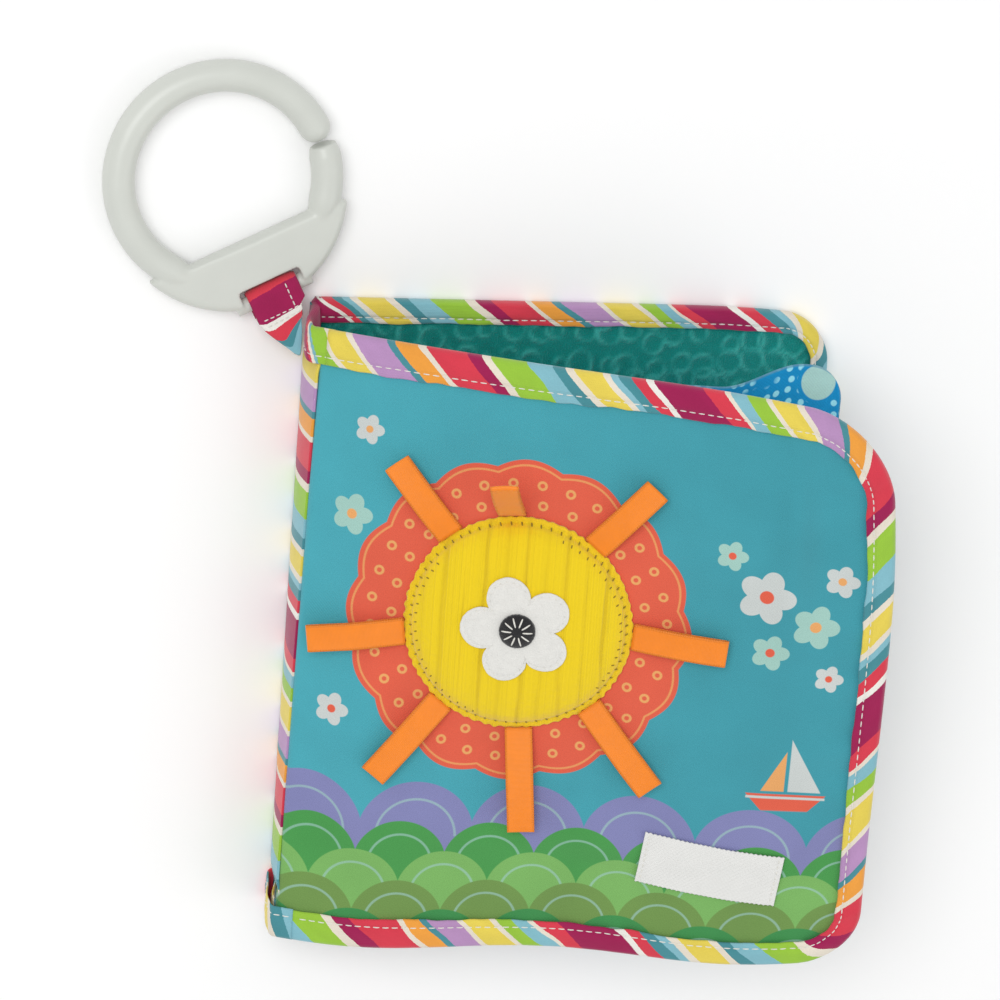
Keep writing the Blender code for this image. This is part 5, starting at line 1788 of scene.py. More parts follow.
PATCH_STITCH_SLANT = 0.35
PATCH_STITCH_LIFT = 0.00008
PATCH_STITCH_STRAY = 0.02
PATCH_STITCH_STRAY_SIZE = 0.3
# The inner row shows where the cosine of twice the turn, less the first, is over the second
INNER_ROW = (0.6, -0.3)
PATCH_THREAD = 0.00019


def disc_grid(count, outline):
    """A square grid bent to a round outline whose radius is a function of its turn."""
    u, v = np.meshgrid(np.linspace(-1, 1, count), np.linspace(-1, 1, count), indexing="ij")
    x = u * np.sqrt(1 - v**2 / 2)
    y = v * np.sqrt(1 - u**2 / 2)
    turn = np.arctan2(y, x)
    radius = outline(turn)
    return PATCH_S + x * radius, PATCH_Q + y * radius, np.hypot(x, y), turn


def round_patch_at(radius, turn):
    """The point of the front pattern at a distance and turn from the patch's middle."""
    return PATCH_S + radius * np.cos(turn), PATCH_Q + radius * np.sin(turn)


def rim_noise(turn, size, seed):
    """Noise along a round rim, without a step where the turn closes."""
    return soft_noise(np.cos(turn), np.sin(turn), size, seed)


def patch_stitch_count():
    return round(2 * math.pi * STITCH_RADII[0] / bpy.context.scene.book_patch.stitch_pitch)


def patch_under(s, q):
    """Under side of the patch: domed over its filling, and seated on the panel at its rim."""
    distance, _ = from_patch(s, q)
    seat = panel_base(s, q) + LAYER_GAP
    share = np.clip(distance / (PATCH_RADIUS - FILLING_INSET / 2), 0, 1)
    return seat + (PATCH_DOME + CLOTH / 2 + LAYER_GAP) * np.sqrt(np.maximum(1 - share**3, 0.0))


def patch_furrow(s, q):
    """1 along the narrow furrows between the patch's ribs, which wander and fade a little."""
    sizes = bpy.context.scene.book_patch
    sway = FURROW_SWAY * soft_noise(s * FURROW_SWAY_STRETCH, q, FURROW_SWAY_SIZE, 90)
    run = (s - PATCH_S + sway) / sizes.rib_pitch + FURROW_START
    across = run % 1 - 0.5
    strength = np.where(np.floor(run) % 2 < 0.5, 1.0, FAINT_FURROW)
    wide, tall = FURROW_FADE_STRETCH
    fade = FURROW_FADE * soft_noise(s * wide, q * tall, FURROW_FADE_SIZE, 91)
    depth = np.clip(1 - FURROW_FADE + fade, FURROW_LEAST, 1)
    return strength * bell(across * sizes.rib_pitch, FURROW_WIDTH) * depth


def patch_top(s, q):
    """Upper side of the patch, with its ribs, the groove of its stitches and a puffy rim."""
    sizes = bpy.context.scene.book_patch
    distance, turn = from_patch(s, q)
    rib = 1 - patch_furrow(s, q)
    rim = ease((PATCH_RADIUS - distance) / FILLING_INSET)
    top = patch_under(s, q) + PATCH_CLOTH + sizes.rib_depth * (rib + RIB_LIFT) * rim
    pull = 1 - FURROW_FADE + FURROW_FADE * np.cos(turn * patch_stitch_count())
    groove = bell(distance - STITCH_RADII[0], GROOVE_HALF)
    groove = groove + INNER_GROOVE_SHARE * bell(distance - STITCH_RADII[1], GROOVE_HALF)
    top = top - GROOVE * groove * pull
    puff = soft_noise(turn * PATCH_PUFF_TURN, distance, PATCH_PUFF_SIZE, 92)
    return top + PATCH_PUFF * puff * (1 - rim) + PATCH_NAP * soft_noise(s, q, PATCH_NAP_SIZE, 93)


def make_patch():
    """The padded round patch: ribbed plush with a frayed rim, and its dark stitches."""

    def outline(turn):
        bumps = FRAY_BUMP * np.cos(turn * patch_stitch_count())
        fray = rim_noise(turn, FRAY_SIZES[0], 94) + rim_noise(turn, FRAY_SIZES[1], 95) + bumps
        return PATCH_RADIUS + bpy.context.scene.book_patch.fray * fray

    s, q, share, _ = disc_grid(PATCH_GRID, outline)
    top = patch_top(s, q)
    under = np.minimum(patch_under(s, q), top - PATCH_LEAST)
    sag = ease((share - RIM_SAG_START) / (1 - RIM_SAG_START)) * LAYER_GAP
    rim = ease((share * PATCH_RADIUS - PATCH_RADIUS + RIM_BAND) / RIM_BAND)
    # The third cloth coordinate is the furrow mask that the plush's material darkens with painted shade
    cloth = (s, rim / MILLIMETRES, patch_furrow(s, q) / MILLIMETRES)
    item = laid_sheet("sewn_patch", FRONT_BOARD, s, q, top - sag, under - sag, "ribbed_plush", cloth)
    dress(item, "front_cover", ["round_patch"])
    patch_stitches()


def patch_stitches():
    """Two rows of short dark stitches inside the patch's rim, the inner one only in places."""
    starts, ends, ups = [], [], []
    for row, radius in enumerate(STITCH_RADII):
        count = patch_stitch_count()
        turn = 2 * math.pi * (np.arange(count) + 0.5 * row) / count
        turn = turn + PATCH_STITCH_STRAY * line_noise(turn, PATCH_STITCH_STRAY_SIZE, 97)
        if row:
            turn = turn[np.cos(turn * 2 - INNER_ROW[0]) > INNER_ROW[1]]
        for shift, places in ((-PATCH_STITCH / 2, starts), (PATCH_STITCH / 2, ends)):
            s, q = round_patch_at(radius + shift, turn + PATCH_STITCH_SLANT * shift / radius)
            places.append(FRONT_BOARD.place(s, q, patch_top(s, q) + PATCH_STITCH_LIFT))
        ups.append(off_front(*round_patch_at(radius, turn)))
    dress(stitch_row("patch_stitches", starts, ends, ups, PATCH_THREAD, "brown_thread"), "front_cover")


# Felt blossom

BLOSSOM_GRID = 90
BUTTON_GRID = 48
FELT = 0.0008
FELT_GAP = 0.0003
RIB_ROOM = 0.0005
FELT_SEAT = PATCH_CLOTH + RIB_ROOM + FELT_GAP
FELT_SINK = FELT_GAP * 0.7
FELT_FRAY = 0.00012
FELT_FRAY_SIZE = 0.08
FELT_NAP = 0.00008
FELT_NAP_SIZE = 0.0015
FELT_EDGE = FELT * 0.45
FELT_EDGE_START = 0.9
BLOSSOM_SEAM = 0.0012
BLOSSOM_SEAM_DENT = 0.0003
BLOSSOM_SEAM_HALF = 0.0005
BLOSSOM_STITCHES = 48
BLOSSOM_STITCH_TURN = 0.017
BLOSSOM_STITCH_SINK = 0.0002
BLOSSOM_THREAD = 0.00014
BUTTON_STITCHES = 10
BUTTON_SPOKE = (0.30, 0.86)
BUTTON_WALL = 0.0005
BUTTON_DOME = 0.0012
BUTTON_FRAY = 0.0001
BUTTON_FRAY_SIZE = 0.12
BUTTON_SINK = FELT_GAP * 0.9
BUTTON_THREAD = 0.00022


def petals(turn):
    return BLOSSOM_RADIUS - BLOSSOM_NOTCH * (1 - np.abs(np.sin(PETALS * turn / 2)) ** PETAL_ROUNDNESS)


def felt_seat(s, q):
    return patch_under(s, q) + FELT_SEAT


def make_blossom():
    """A white felt blossom sewn on the patch, and its dark felt centre."""

    def ragged(turn):
        return petals(turn) + FELT_FRAY * rim_noise(turn, FELT_FRAY_SIZE, 101)

    s, q, share, turn = disc_grid(BLOSSOM_GRID, ragged)
    round_edge = FELT_EDGE * ease((share - FELT_EDGE_START) / (1 - FELT_EDGE_START))
    dent = BLOSSOM_SEAM_DENT * bell((1 - share) * petals(turn) - BLOSSOM_SEAM, BLOSSOM_SEAM_HALF)
    seat = felt_seat(s, q) - FELT_SINK
    top = seat + FELT - round_edge - dent + FELT_NAP * soft_noise(s, q, FELT_NAP_SIZE, 102)
    item = laid_sheet("felt_petals", FRONT_BOARD, s, q, top, seat, "white_felt")
    dress(item, "front_cover", ["felt_blossom"])
    blossom_stitches()
    make_button()


def blossom_stitches():
    turn = np.linspace(0, 2 * math.pi, BLOSSOM_STITCHES, endpoint=False)
    places = []
    for shift in (-BLOSSOM_STITCH_TURN, BLOSSOM_STITCH_TURN):
        s, q = round_patch_at(petals(turn + shift) - BLOSSOM_SEAM, turn + shift)
        places.append(FRONT_BOARD.place(s, q, felt_seat(s, q) - FELT_SINK + FELT - BLOSSOM_STITCH_SINK))
    ups = off_front(*round_patch_at(BLOSSOM_RADIUS, turn))
    dress(stitch_row("blossom_stitches", *places, ups, BLOSSOM_THREAD), "front_cover")


def button_rise(share):
    return BUTTON_WALL + BUTTON_DOME * np.sqrt(np.maximum(1 - share**2, 0.0))


def make_button():
    def ragged(turn):
        return BUTTON_RADIUS + BUTTON_FRAY * rim_noise(turn, BUTTON_FRAY_SIZE, 103)

    s, q, share, _ = disc_grid(BUTTON_GRID, ragged)
    seat = felt_seat(s, q) + FELT - BUTTON_SINK
    item = laid_sheet("felt_centre", FRONT_BOARD, s, q, seat + button_rise(share), seat, "black_felt")
    dress(item, "front_cover", ["blossom_centre"])
    button_stitches()


def button_stitches():
    """Short stitches that hold the felt centre, set round it like the spokes of a wheel."""
    turn = np.linspace(0, 2 * math.pi, BUTTON_STITCHES, endpoint=False)
    places = []
    for share in BUTTON_SPOKE:
        s, q = round_patch_at(share * BUTTON_RADIUS, turn)
        n = felt_seat(s, q) + FELT - BUTTON_SINK + button_rise(share) + BUTTON_THREAD
        places.append(FRONT_BOARD.place(s, q, n))
    ups = off_front(*round_patch_at(BUTTON_RADIUS, turn))
    dress(stitch_row("centre_stitches", *places, ups, BUTTON_THREAD), "front_cover")


# Ribbons

RIBBON_LAYER = 0.00038
RIBBON_ARCH = 0.0008
RIBBON_STATIONS = 26
RIBBON_ROWS = 15
RIBBON_TIP_STEPS = 9
RIBBON_ROLL = 0.00025
RIBBON_SWAY = 0.0005
RIBBON_SWAY_SIZE = 0.011
RIBBON_SIDE_SWAY = 0.35
RIBBON_TUCK = 0.0009


def ribbon_section(reach):
    """Along and up round the folded ribbon: lower layer out, upper layer back, then the same inside."""
    half = RIBBON_THICKNESS / 2
    slit = half - RIBBON_LAYER
    tip = reach - half
    run = -RIBBON_TUCK + (tip + RIBBON_TUCK) * np.linspace(0, 1, RIBBON_STATIONS)
    turns = np.linspace(-math.pi / 2, math.pi / 2, RIBBON_TIP_STEPS)[1:-1]
    outer = [(x, -half) for x in run]
    outer += [(tip + half * math.cos(turn), half * math.sin(turn)) for turn in turns]
    outer += [(x, half) for x in run[::-1]]
    inner = [(x, slit) for x in run]
    inner += [(tip + slit * math.cos(turn), slit * math.sin(turn)) for turn in turns[::-1]]
    inner += [(x, -slit) for x in run[::-1]]
    return np.array(outer + inner)


def make_ribbon(index, turn_degrees, lift_degrees, reach):
    """One folded ribbon tab, its root sewn in under the patch's rim."""
    section = ribbon_section(reach)
    across = np.linspace(-RIBBON_WIDTH / 2, RIBBON_WIDTH / 2, RIBBON_ROWS)[:, None]
    share = np.clip(section[:, 0] / reach, 0, 1)
    wave = np.sin(math.pi * share)
    sway = RIBBON_SWAY * soft_noise(section[:, 0], 0 * share, RIBBON_SWAY_SIZE, 110 + index) * wave
    roll = RIBBON_ROLL * share[None, :] * (2 * across / RIBBON_WIDTH) ** 2
    x = section[None, :, 0] + 0 * across
    y = across + RIBBON_SIDE_SWAY * sway[None, :]
    z = (section[:, 1] + RIBBON_ARCH * wave + np.abs(sway) / 2)[None, :] + roll
    turn = math.radians(turn_degrees)
    s, q = round_patch_at(PATCH_RADIUS + RIBBON_GAP + RIBBON_THICKNESS / 2, turn)
    root = FRONT_BOARD.place(s, q, panel_base(s, q) + RIBBON_GAP + RIBBON_THICKNESS / 2)
    axes = FRONT_BOARD.axes(s, q, turn) @ Matrix.Rotation(-math.radians(lift_degrees), 3, "Y")
    rings = stacked(x, y, z) @ np.array(axes).T + root
    item = swept(f"ribbon_{index}", rings, "satin", stacked(x, y))
    dress(item, None, [f"ribbon_tab_{index}"])
    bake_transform(item)
    return item


def make_ribbons():
    """The eight ribbon tabs that are sewn to the panel."""
    places = zip(RIBBON_TURNS, RIBBON_LIFTS, RIBBON_LENGTHS)
    ribbons = [make_ribbon(index + 1, *place) for index, place in enumerate(places)]


# Label

LABEL_GRID = (124, 52)
LABEL_TOOTH = 0.0012
LABEL_TOOTH_DEPTH = 0.00032
LABEL_TOOTH_BAND = 0.0012
LABEL_THICKNESS = 0.0006
LABEL_GAP = 0.0005
LABEL_PUFF = 0.0003
LABEL_PUFF_SIZE = 0.007
LABEL_SEAM = 0.0012
LABEL_SEAM_HALF = 0.0005
LABEL_SEAM_DENT = 0.00025
LABEL_STITCH = 0.0012
LABEL_STITCH_PITCH = 0.0017
LABEL_STITCH_LIFT = 0.00008
LABEL_THREAD = 0.00017


def label_place(x, y):
    turn = math.radians(LABEL_TURN)
    s = LABEL_S + x * math.cos(turn) - y * math.sin(turn)
    return s, LABEL_Q + x * math.sin(turn) + y * math.cos(turn)


def label_height(x, y):
    s, q = label_place(x, y)
    seam = LABEL_SEAM_DENT * bell(np.abs(x) - LABEL_WIDTH / 2 + LABEL_SEAM, LABEL_SEAM_HALF)
    puff = LABEL_PUFF * soft_noise(x, y, LABEL_PUFF_SIZE, 121)
    return panel_base(s, q) + panel_relief(s, q) / 2 + LABEL_GAP + LABEL_THICKNESS + puff - seam


def make_label():
    """The bare label, with the small teeth of its woven edges and a row of stitches at each end."""
    x, y = np.meshgrid(
        np.linspace(-LABEL_WIDTH / 2, LABEL_WIDTH / 2, LABEL_GRID[0]),
        np.linspace(-LABEL_HEIGHT / 2, LABEL_HEIGHT / 2, LABEL_GRID[1]), indexing="ij",
    )
    tooth = LABEL_TOOTH_DEPTH * (2 * np.abs((x / LABEL_TOOTH) % 1 - 0.5) - 0.5)
    edge = ease((np.abs(y) - LABEL_HEIGHT / 2 + LABEL_TOOTH_BAND) / LABEL_TOOTH_BAND)
    y = y + tooth * edge * np.sign(y)
    top = label_height(x, y)
    s, q = label_place(x, y)
    item = laid_sheet("bare_label", FRONT_BOARD, s, q, top, top - LABEL_THICKNESS, "woven_label", (x, y))
    dress(item, "front_cover", ["sewn_label"])
    last = LABEL_HEIGHT / 2 - LABEL_STITCH - PATCH_STITCH / 2
    row = np.arange(-LABEL_HEIGHT / 2 + LABEL_STITCH, last, LABEL_STITCH_PITCH)
    starts, ends, ups = [], [], []
    for side in (-1, 1):
        x = side * (LABEL_WIDTH / 2 - LABEL_SEAM) + 0 * row
        for shift, places in ((0.0, starts), (LABEL_STITCH, ends)):
            n = label_height(x, row + shift) + LABEL_STITCH_LIFT
            places.append(FRONT_BOARD.place(*label_place(x, row + shift), n))
        ups.append(off_front(*label_place(x, row)))
    stitches = stitch_row("label_stitches", starts, ends, ups, LABEL_THREAD)
    dress(stitches, "front_cover")


# Strap


def floor_direction(turn_degrees):
    turn = math.radians(turn_degrees)
    return np.array([math.cos(turn), math.sin(turn), 0.0])


STRAP_ROOT = np.array(JOINT_PLACES["strap_swing"]) + np.array([STRAP_TUCK_X, STRAP_TUCK_Y, 0.0])
BAR_CENTRE = np.array(JOINT_PLACES["ring_swing"])
RING_CENTRE = BAR_CENTRE - floor_direction(RING_TURN) * BAR_OFFSET
STRAP_RUN = -floor_direction(RING_TURN)
STRAP_SIDE = np.cross([0.0, 0.0, 1.0], STRAP_RUN)
STRAP_WRAP = BAR_RADIUS + STRAP_BAR_GAP + STRAP
STRAP_STATIONS = 34
STRAP_ROWS = 17
STRAP_WRAP_STEPS = 18
STRAP_EDGE_ROUND = 0.42
STRAP_STRIPES = (
    (-0.0100, 0.0800), (0.0025, 0.0868), (0.0045, 0.0916), (0.0070, 0.0958), (0.0086, 0.0979),
    (0.0156, 0.1122), (0.0220, 0.1165),
)
STRAP_STRIPE_SLANT = 0.0006
STRAP_CROSS = (0.0078, 0.0093)
CROSS_STITCHES = 7
CROSS_HALF_SHARE = 0.86
CROSS_STITCH_SHARE = 0.16
SIDE_STITCHES = 4
SIDE_STITCH = (0.0004, 0.0016, 0.0012)
SIDE_STITCH_SHARE = -0.50
STRAP_STITCH_LIFT = 0.6


def strap_place(along, share, z):
    """A point of the strap: square to the bar near it, drawn in to the spine at the root."""
    square = ease(along / (STRAP_REACH - STRAP_STRAIGHT))[..., None]
    at_bar = BAR_CENTRE + STRAP_RUN * (along - STRAP_REACH)[..., None]
    at_bar = at_bar + STRAP_SIDE * (STRAP_WIDTH / 2 * share)[..., None]
    root_y = STRAP_ROOT[1] - share * STRAP_ROOT_WIDTH / 2
    at_root = stacked(STRAP_ROOT[0], root_y, 0.0) + STRAP_RUN * along[..., None]
    place = at_root * (1 - square) + at_bar * square
    limit = STRAP_ROOT[0] + STRAP_FLARE * np.maximum(place[..., 1] - STRAP_CORNER_Y, 0.0)
    place[..., 0] = np.minimum(place[..., 0], limit)
    place[..., 2] = z
    return place


def strap_height(along, upper, depth):
    at_root = STRAP_ROOT[2] + upper * STRAP_ROOT_HALF
    at_bar = BAR_CENTRE[2] + upper * STRAP_WRAP
    return at_root + (at_bar - at_root) * ease(along / STRAP_REACH) - upper * depth


def strap_loop(depth, start):
    """Along and up round the strap's loop, root to bar and back, at a depth in from its outer face."""
    run = start + (STRAP_REACH - start) * np.linspace(0, 1, STRAP_STATIONS)
    turns = np.linspace(0, math.pi, STRAP_WRAP_STEPS)[1:-1]
    radius = STRAP_WRAP - depth
    along = np.concatenate([run, STRAP_REACH + radius * np.sin(turns), run[::-1]])
    low = strap_height(run, -1, depth)
    high = strap_height(run[::-1], 1, depth)
    return stacked(along, np.concatenate([low, BAR_CENTRE[2] - radius * np.cos(turns), high]))


def make_strap():
    """The striped strap: folded round the ring's bar, its two ends sewn together at the spine."""
    share = np.linspace(-1, 1, STRAP_ROWS)
    outer = strap_loop(0.0, 0.0)
    inner = strap_loop(STRAP, STRAP_STRAIGHT)
    rounding = (STRAP_EDGE_ROUND * np.abs(share) ** 6)[:, None]
    marks, places = zip(*STRAP_STRIPES)
    rings = []
    cloth = []
    for out_here, in_here in zip(outer, inner):
        over = out_here + (in_here - out_here) * rounding
        under = (in_here + (out_here - in_here) * rounding)[::-1]
        rings.append(np.concatenate([
            strap_place(over[:, 0], share, over[:, 1]),
            strap_place(under[:, 0], share[::-1], under[:, 1]),
        ]))
        stripe = np.interp(out_here[0] + STRAP_STRIPE_SLANT * share, marks, places)
        pair = stacked(stripe, share * STRAP_WIDTH / 2)
        cloth.append(np.concatenate([pair, pair[::-1]]))
    item = swept("strap", np.array(rings), "striped_tape", np.array(cloth))
    dress(item, "strap", ["strap_loop"])
    stitches = strap_stitches()


def strap_stitches():
    """Two lines of stitches across the strap where it is closed, and one up its side."""
    cloth = bpy.context.scene.book_cloth
    lines = []
    for step in range(CROSS_STITCHES):
        share = CROSS_HALF_SHARE * (2 * step / CROSS_STITCHES - 1)
        lines += [((along, share), (along, share + CROSS_STITCH_SHARE)) for along in STRAP_CROSS]
    start, pitch, stitch = SIDE_STITCH
    for step in range(SIDE_STITCHES):
        along = STRAP_CROSS[-1] + start + pitch * step
        lines.append(((along, SIDE_STITCH_SHARE), (along + stitch, SIDE_STITCH_SHARE)))
    places = []
    for along, share in np.array(lines).transpose(1, 2, 0):
        height = strap_height(along, 1, 0.0) + cloth.thread * STRAP_STITCH_LIFT
        places.append(strap_place(along, share, height))
    ups = [np.array([0.0, 0.0, 1.0])] * len(lines)
    return dress(stitch_row("strap_stitches", *places, ups, cloth.thread), "strap")


# Link ring

ARC_STEP = 3.0
ARC_ROUNDNESS = 8
PLATE_POINTS = 48
PLATE_ROUND_STEPS = 5
BAR_PAST_SLOT = 0.004
SHAPE_SIDES = 40
BALL_ROWS = 24
SMOOTH_FACTOR = 0.5


def sunk(turn_degrees):
    """1 along the free tube, less where it sinks into the plate."""
    return 1 - (1 - TUBE_SINK) * float(ease((SINK_START - abs(turn_degrees)) / SINK_LENGTH))


def evaluated_mesh(item):
    """The mesh that an object gives with its bevel or its modifiers."""
    bpy.context.view_layer.update()
    return bpy.data.meshes.new_from_object(item.evaluated_get(bpy.context.evaluated_depsgraph_get()))


def ring_arc(name, first, last, end_taper=0.0):
    """The ring's round tube from one turn to another, in degrees from the plate's middle."""
    count = max(2, round(abs(last - first) / ARC_STEP))
    curve = bpy.data.curves.new(name, "CURVE")
    curve.dimensions = "3D"
    curve.bevel_depth = RING_TUBE
    curve.bevel_resolution = ARC_ROUNDNESS
    curve.use_fill_caps = True
    path = curve.splines.new("POLY")
    path.points.add(count)
    for target, turn in zip(path.points, np.linspace(first, last, count + 1)):
        angle = math.radians(turn)
        target.co = (RING_RADIUS * math.cos(angle), RING_RADIUS * math.sin(angle), 0, 1)
        taper = 1 - end_taper * float(ease((turn - last) / ARC_STEP / 2 + 1))
        target.radius = sunk(min(turn % 360, 360 - turn % 360)) * taper
    holder = linked(name, curve)
    mesh = evaluated_mesh(holder)
    bpy.data.objects.remove(holder, do_unlink=True)
    return mesh


def plate_mesh():
    """The flat base between chord and outer arc, its rims rounded."""
    outline = [(PLATE_CHORD, PLATE_CHORD_HALF), (PLATE_CHORD, -PLATE_CHORD_HALF)]
    for step in range(PLATE_POINTS + 1):
        share = 2 * step / PLATE_POINTS - 1
        turn = math.radians((PLATE_SPAN if share > 0 else PLATE_ARM_SPAN) * share)
        radius = PLATE_RADIUS + PLATE_BELLY * math.cos(math.pi / 2 * share)
        outline.append((radius * math.cos(turn), radius * math.sin(turn)))
    working = bmesh.new()
    face = working.faces.new([working.verts.new((x, y, -PLATE_THICKNESS / 2)) for x, y in outline])
    drawn = bmesh.ops.extrude_face_region(working, geom=[face])
    for part in drawn["geom"]:
        if isinstance(part, bmesh.types.BMVert):
            part.co.z = PLATE_THICKNESS / 2
    rims = []
    for edge in working.edges:
        if abs(edge.verts[0].co.z - edge.verts[1].co.z) < MERGE_DISTANCE:
            rims.append(edge)
    bmesh.ops.bevel(working, geom=rims, offset=PLATE_EDGE_ROUND, segments=PLATE_ROUND_STEPS, affect="EDGES",
                    profile=0.5)
    bmesh.ops.recalc_face_normals(working, faces=working.faces[:])
    return mesh_of("plate", working)


def slot_mesh():
    """The block that cuts the strap's slot."""
    working = bmesh.new()
    bmesh.ops.create_cube(working, size=1)
    for vert in working.verts:
        x = SLOT_INNER if vert.co.x < 0 else SLOT_OUTER
        y = math.copysign(SLOT_WIDTH / 2, vert.co.y)
        vert.co = Vector((x, y, math.copysign(PLATE_THICKNESS, vert.co.z)))
    return mesh_of("slot", working)


def bar_mesh():
    """The round bar across the slot, which the strap goes round."""
    working = bmesh.new()
    bmesh.ops.create_cone(working, cap_ends=True, segments=SHAPE_SIDES, radius1=BAR_RADIUS,
                          radius2=BAR_RADIUS, depth=SLOT_WIDTH + BAR_PAST_SLOT)
    place = Matrix.Translation((BAR_OFFSET, 0, 0)) @ Matrix.Rotation(math.pi / 2, 4, "X")
    bmesh.ops.transform(working, matrix=place, verts=working.verts[:])
    return mesh_of("bar", working)


def tip_mesh(turn_degrees):
    """The ball that rounds the arm's free end."""
    turn = math.radians(turn_degrees)
    working = bmesh.new()
    bmesh.ops.create_uvsphere(working, u_segments=SHAPE_SIDES, v_segments=BALL_ROWS, radius=RING_TUBE)
    place = Matrix.Translation((RING_RADIUS * math.cos(turn), RING_RADIUS * math.sin(turn), 0))
    bmesh.ops.transform(working, matrix=place, verts=working.verts[:])
    return mesh_of("arm_tip", working)


def slotted_plate():
    """The plate's mesh with the slot cut out of it."""
    plate = linked("plate", plate_mesh())
    slot = linked("slot", slot_mesh())
    cut = plate.modifiers.new("slot", "BOOLEAN")
    cut.operation = "DIFFERENCE"
    cut.object = slot
    mesh = evaluated_mesh(plate)
    for item in (plate, slot):
        bpy.data.objects.remove(item, do_unlink=True)
    return mesh


def make_ring():
    """The plastic link ring: tube, slotted base and bar, melted into one moulded shape."""
    sizes = bpy.context.scene.book_ring
    gap_turn = RING_GAP_TURN - RING_TURN
    post_end = gap_turn - math.degrees(RING_GAP / RING_RADIUS)
    tip_turn = gap_turn + math.degrees(RING_TUBE / RING_RADIUS)
    parts = [slotted_plate(), bar_mesh(), tip_mesh(tip_turn)]
    parts.append(ring_arc("arm", tip_turn, 360 - PLATE_SPAN / 2))
    parts.append(ring_arc("post", PLATE_SPAN / 2, post_end, POST_END_TAPER))
    working = bmesh.new()
    for mesh in parts:
        working.from_mesh(mesh)
    place = Matrix.Translation(Vector(RING_CENTRE)) @ Matrix.Rotation(math.radians(RING_TURN), 4, "Z")
    bmesh.ops.transform(working, matrix=place, verts=working.verts[:])
    item = linked("moulded_ring", mesh_of("moulded_ring", working))
    melt = item.modifiers.new("melt", "REMESH")
    melt.mode = "VOXEL"
    melt.voxel_size = sizes.voxel
    rounding = item.modifiers.new("rounding", "SMOOTH")
    rounding.factor = SMOOTH_FACTOR
    rounding.iterations = sizes.rounding
    mesh = evaluated_mesh(item)
    item.modifiers.clear()
    item.data = mesh
    mesh.shade_smooth()
    mesh.materials.clear()
    mesh.materials.append(finish_of("ring_plastic"))
    dress(item, "ring", ["link_ring"])


# Stage

PICTURE = 1000
FOCAL_PIXELS = 3982.65
MIDDLE_PIXEL = (552, 615)
SENSOR = 36.0
NEAREST_SEEN = 0.05
FLOOR_HALF = 3.0
FLOOR_DROP = 0.0002
KEY_PLACE = (-0.55, 0.45, 1.25)
KEY_SIZE = 0.9
FILL_PLACE = (0.9, -0.5, 0.9)
FILL_SIZE = 1.1


def make_camera():
    """A camera at the photograph's angle, aimed so that the book's middle lies at its pixel."""
    sizes = bpy.context.scene.book_stage
    head, spine, roll = sizes.head_tilt, sizes.spine_tilt, sizes.roll
    back = Vector((-math.sin(spine) * math.cos(head), math.sin(head), math.cos(head) * math.cos(spine)))
    up = (Vector((0, 1, 0)) - back * back.y).normalized()
    right = up.cross(back)
    turned_right = right * math.cos(roll) + up * math.sin(roll)
    turned_up = up * math.cos(roll) - right * math.sin(roll)
    aside = (PICTURE / 2 - MIDDLE_PIXEL[0]) / FOCAL_PIXELS
    above = (MIDDLE_PIXEL[1] - PICTURE / 2) / FOCAL_PIXELS
    view = (turned_right * aside + turned_up * above - back).normalized()
    level_right = view.cross(turned_up).normalized()
    level_up = level_right.cross(view)
    camera = bpy.data.cameras.new("camera")
    camera.sensor_width = SENSOR
    camera.lens = FOCAL_PIXELS / PICTURE * SENSOR
    camera.clip_start = NEAREST_SEEN
    item = linked("camera", camera)
    turn = Matrix((level_right, level_up, -view)).transposed().to_4x4()
    item.matrix_world = Matrix.Translation(back * sizes.distance) @ turn
    bpy.context.scene.camera = item


def make_light(name, place, size, power):
    """A round soft light that shines on the middle of the book."""
    light = bpy.data.lights.new(name, "AREA")
    light.shape = "DISK"
    light.size = size
    light.energy = power
    item = linked(name, light)
    item.location = place
    item.rotation_euler = (-Vector(place)).to_track_quat("-Z", "Y").to_euler()


def make_floor(colour):
    finish = Finish("floor", 0.9, specular=0.1)
    finish.shader.inputs["Base Color"].default_value = (*colour, 1.0)
    mesh = bpy.data.meshes.new("floor")
    corners = [(-1, -1), (1, -1), (1, 1), (-1, 1)]
    mesh.from_pydata([(x * FLOOR_HALF, y * FLOOR_HALF, 0) for x, y in corners], [], [(0, 1, 2, 3)])
    mesh.materials.append(finish.material)
    floor = linked("floor", mesh)
    floor.location.z = -FLOOR_DROP


def make_stage():
    """The floor, the camera, the two lights and the light from all round."""
    scene = bpy.context.scene
    sizes = scene.book_stage
    make_camera()
    make_floor(sizes.floor_colour)
    make_light("key", KEY_PLACE, KEY_SIZE, sizes.key_light)
    make_light("fill", FILL_PLACE, FILL_SIZE, sizes.fill_light)
    world = bpy.data.worlds.new("soft light")
    world.use_nodes = True
    background = world.node_tree.nodes["Background"]
    background.inputs["Color"].default_value = (1, 1, 1, 1)
    background.inputs["Strength"].default_value = sizes.sky_light
    scene.world = world
    scene.view_settings.view_transform = "Standard"


# Operators


class BOOK_OT_front_panel(bpy.types.Operator):
    """Make the printed panel of the front cover"""

    bl_idname = "book.front_panel"
    bl_label = "Front Panel"

    def execute(self, context):
        make_panel()
        return {"FINISHED"}


class BOOK_OT_lining(bpy.types.Operator):
    """Make the front cover's lining and the back cover's outer cloth"""

    bl_idname = "book.lining"
    bl_label = "Lining and Back Cloth"

    def execute(self, context):
        make_lining()
        make_back_cloth()
        return {"FINISHED"}


class BOOK_OT_plush(bpy.types.Operator):
    """Make the embossed plush inside the back cover"""

    bl_idname = "book.plush"
    bl_label = "Embossed Plush"

    def execute(self, context):
        make_plush()
        return {"FINISHED"}


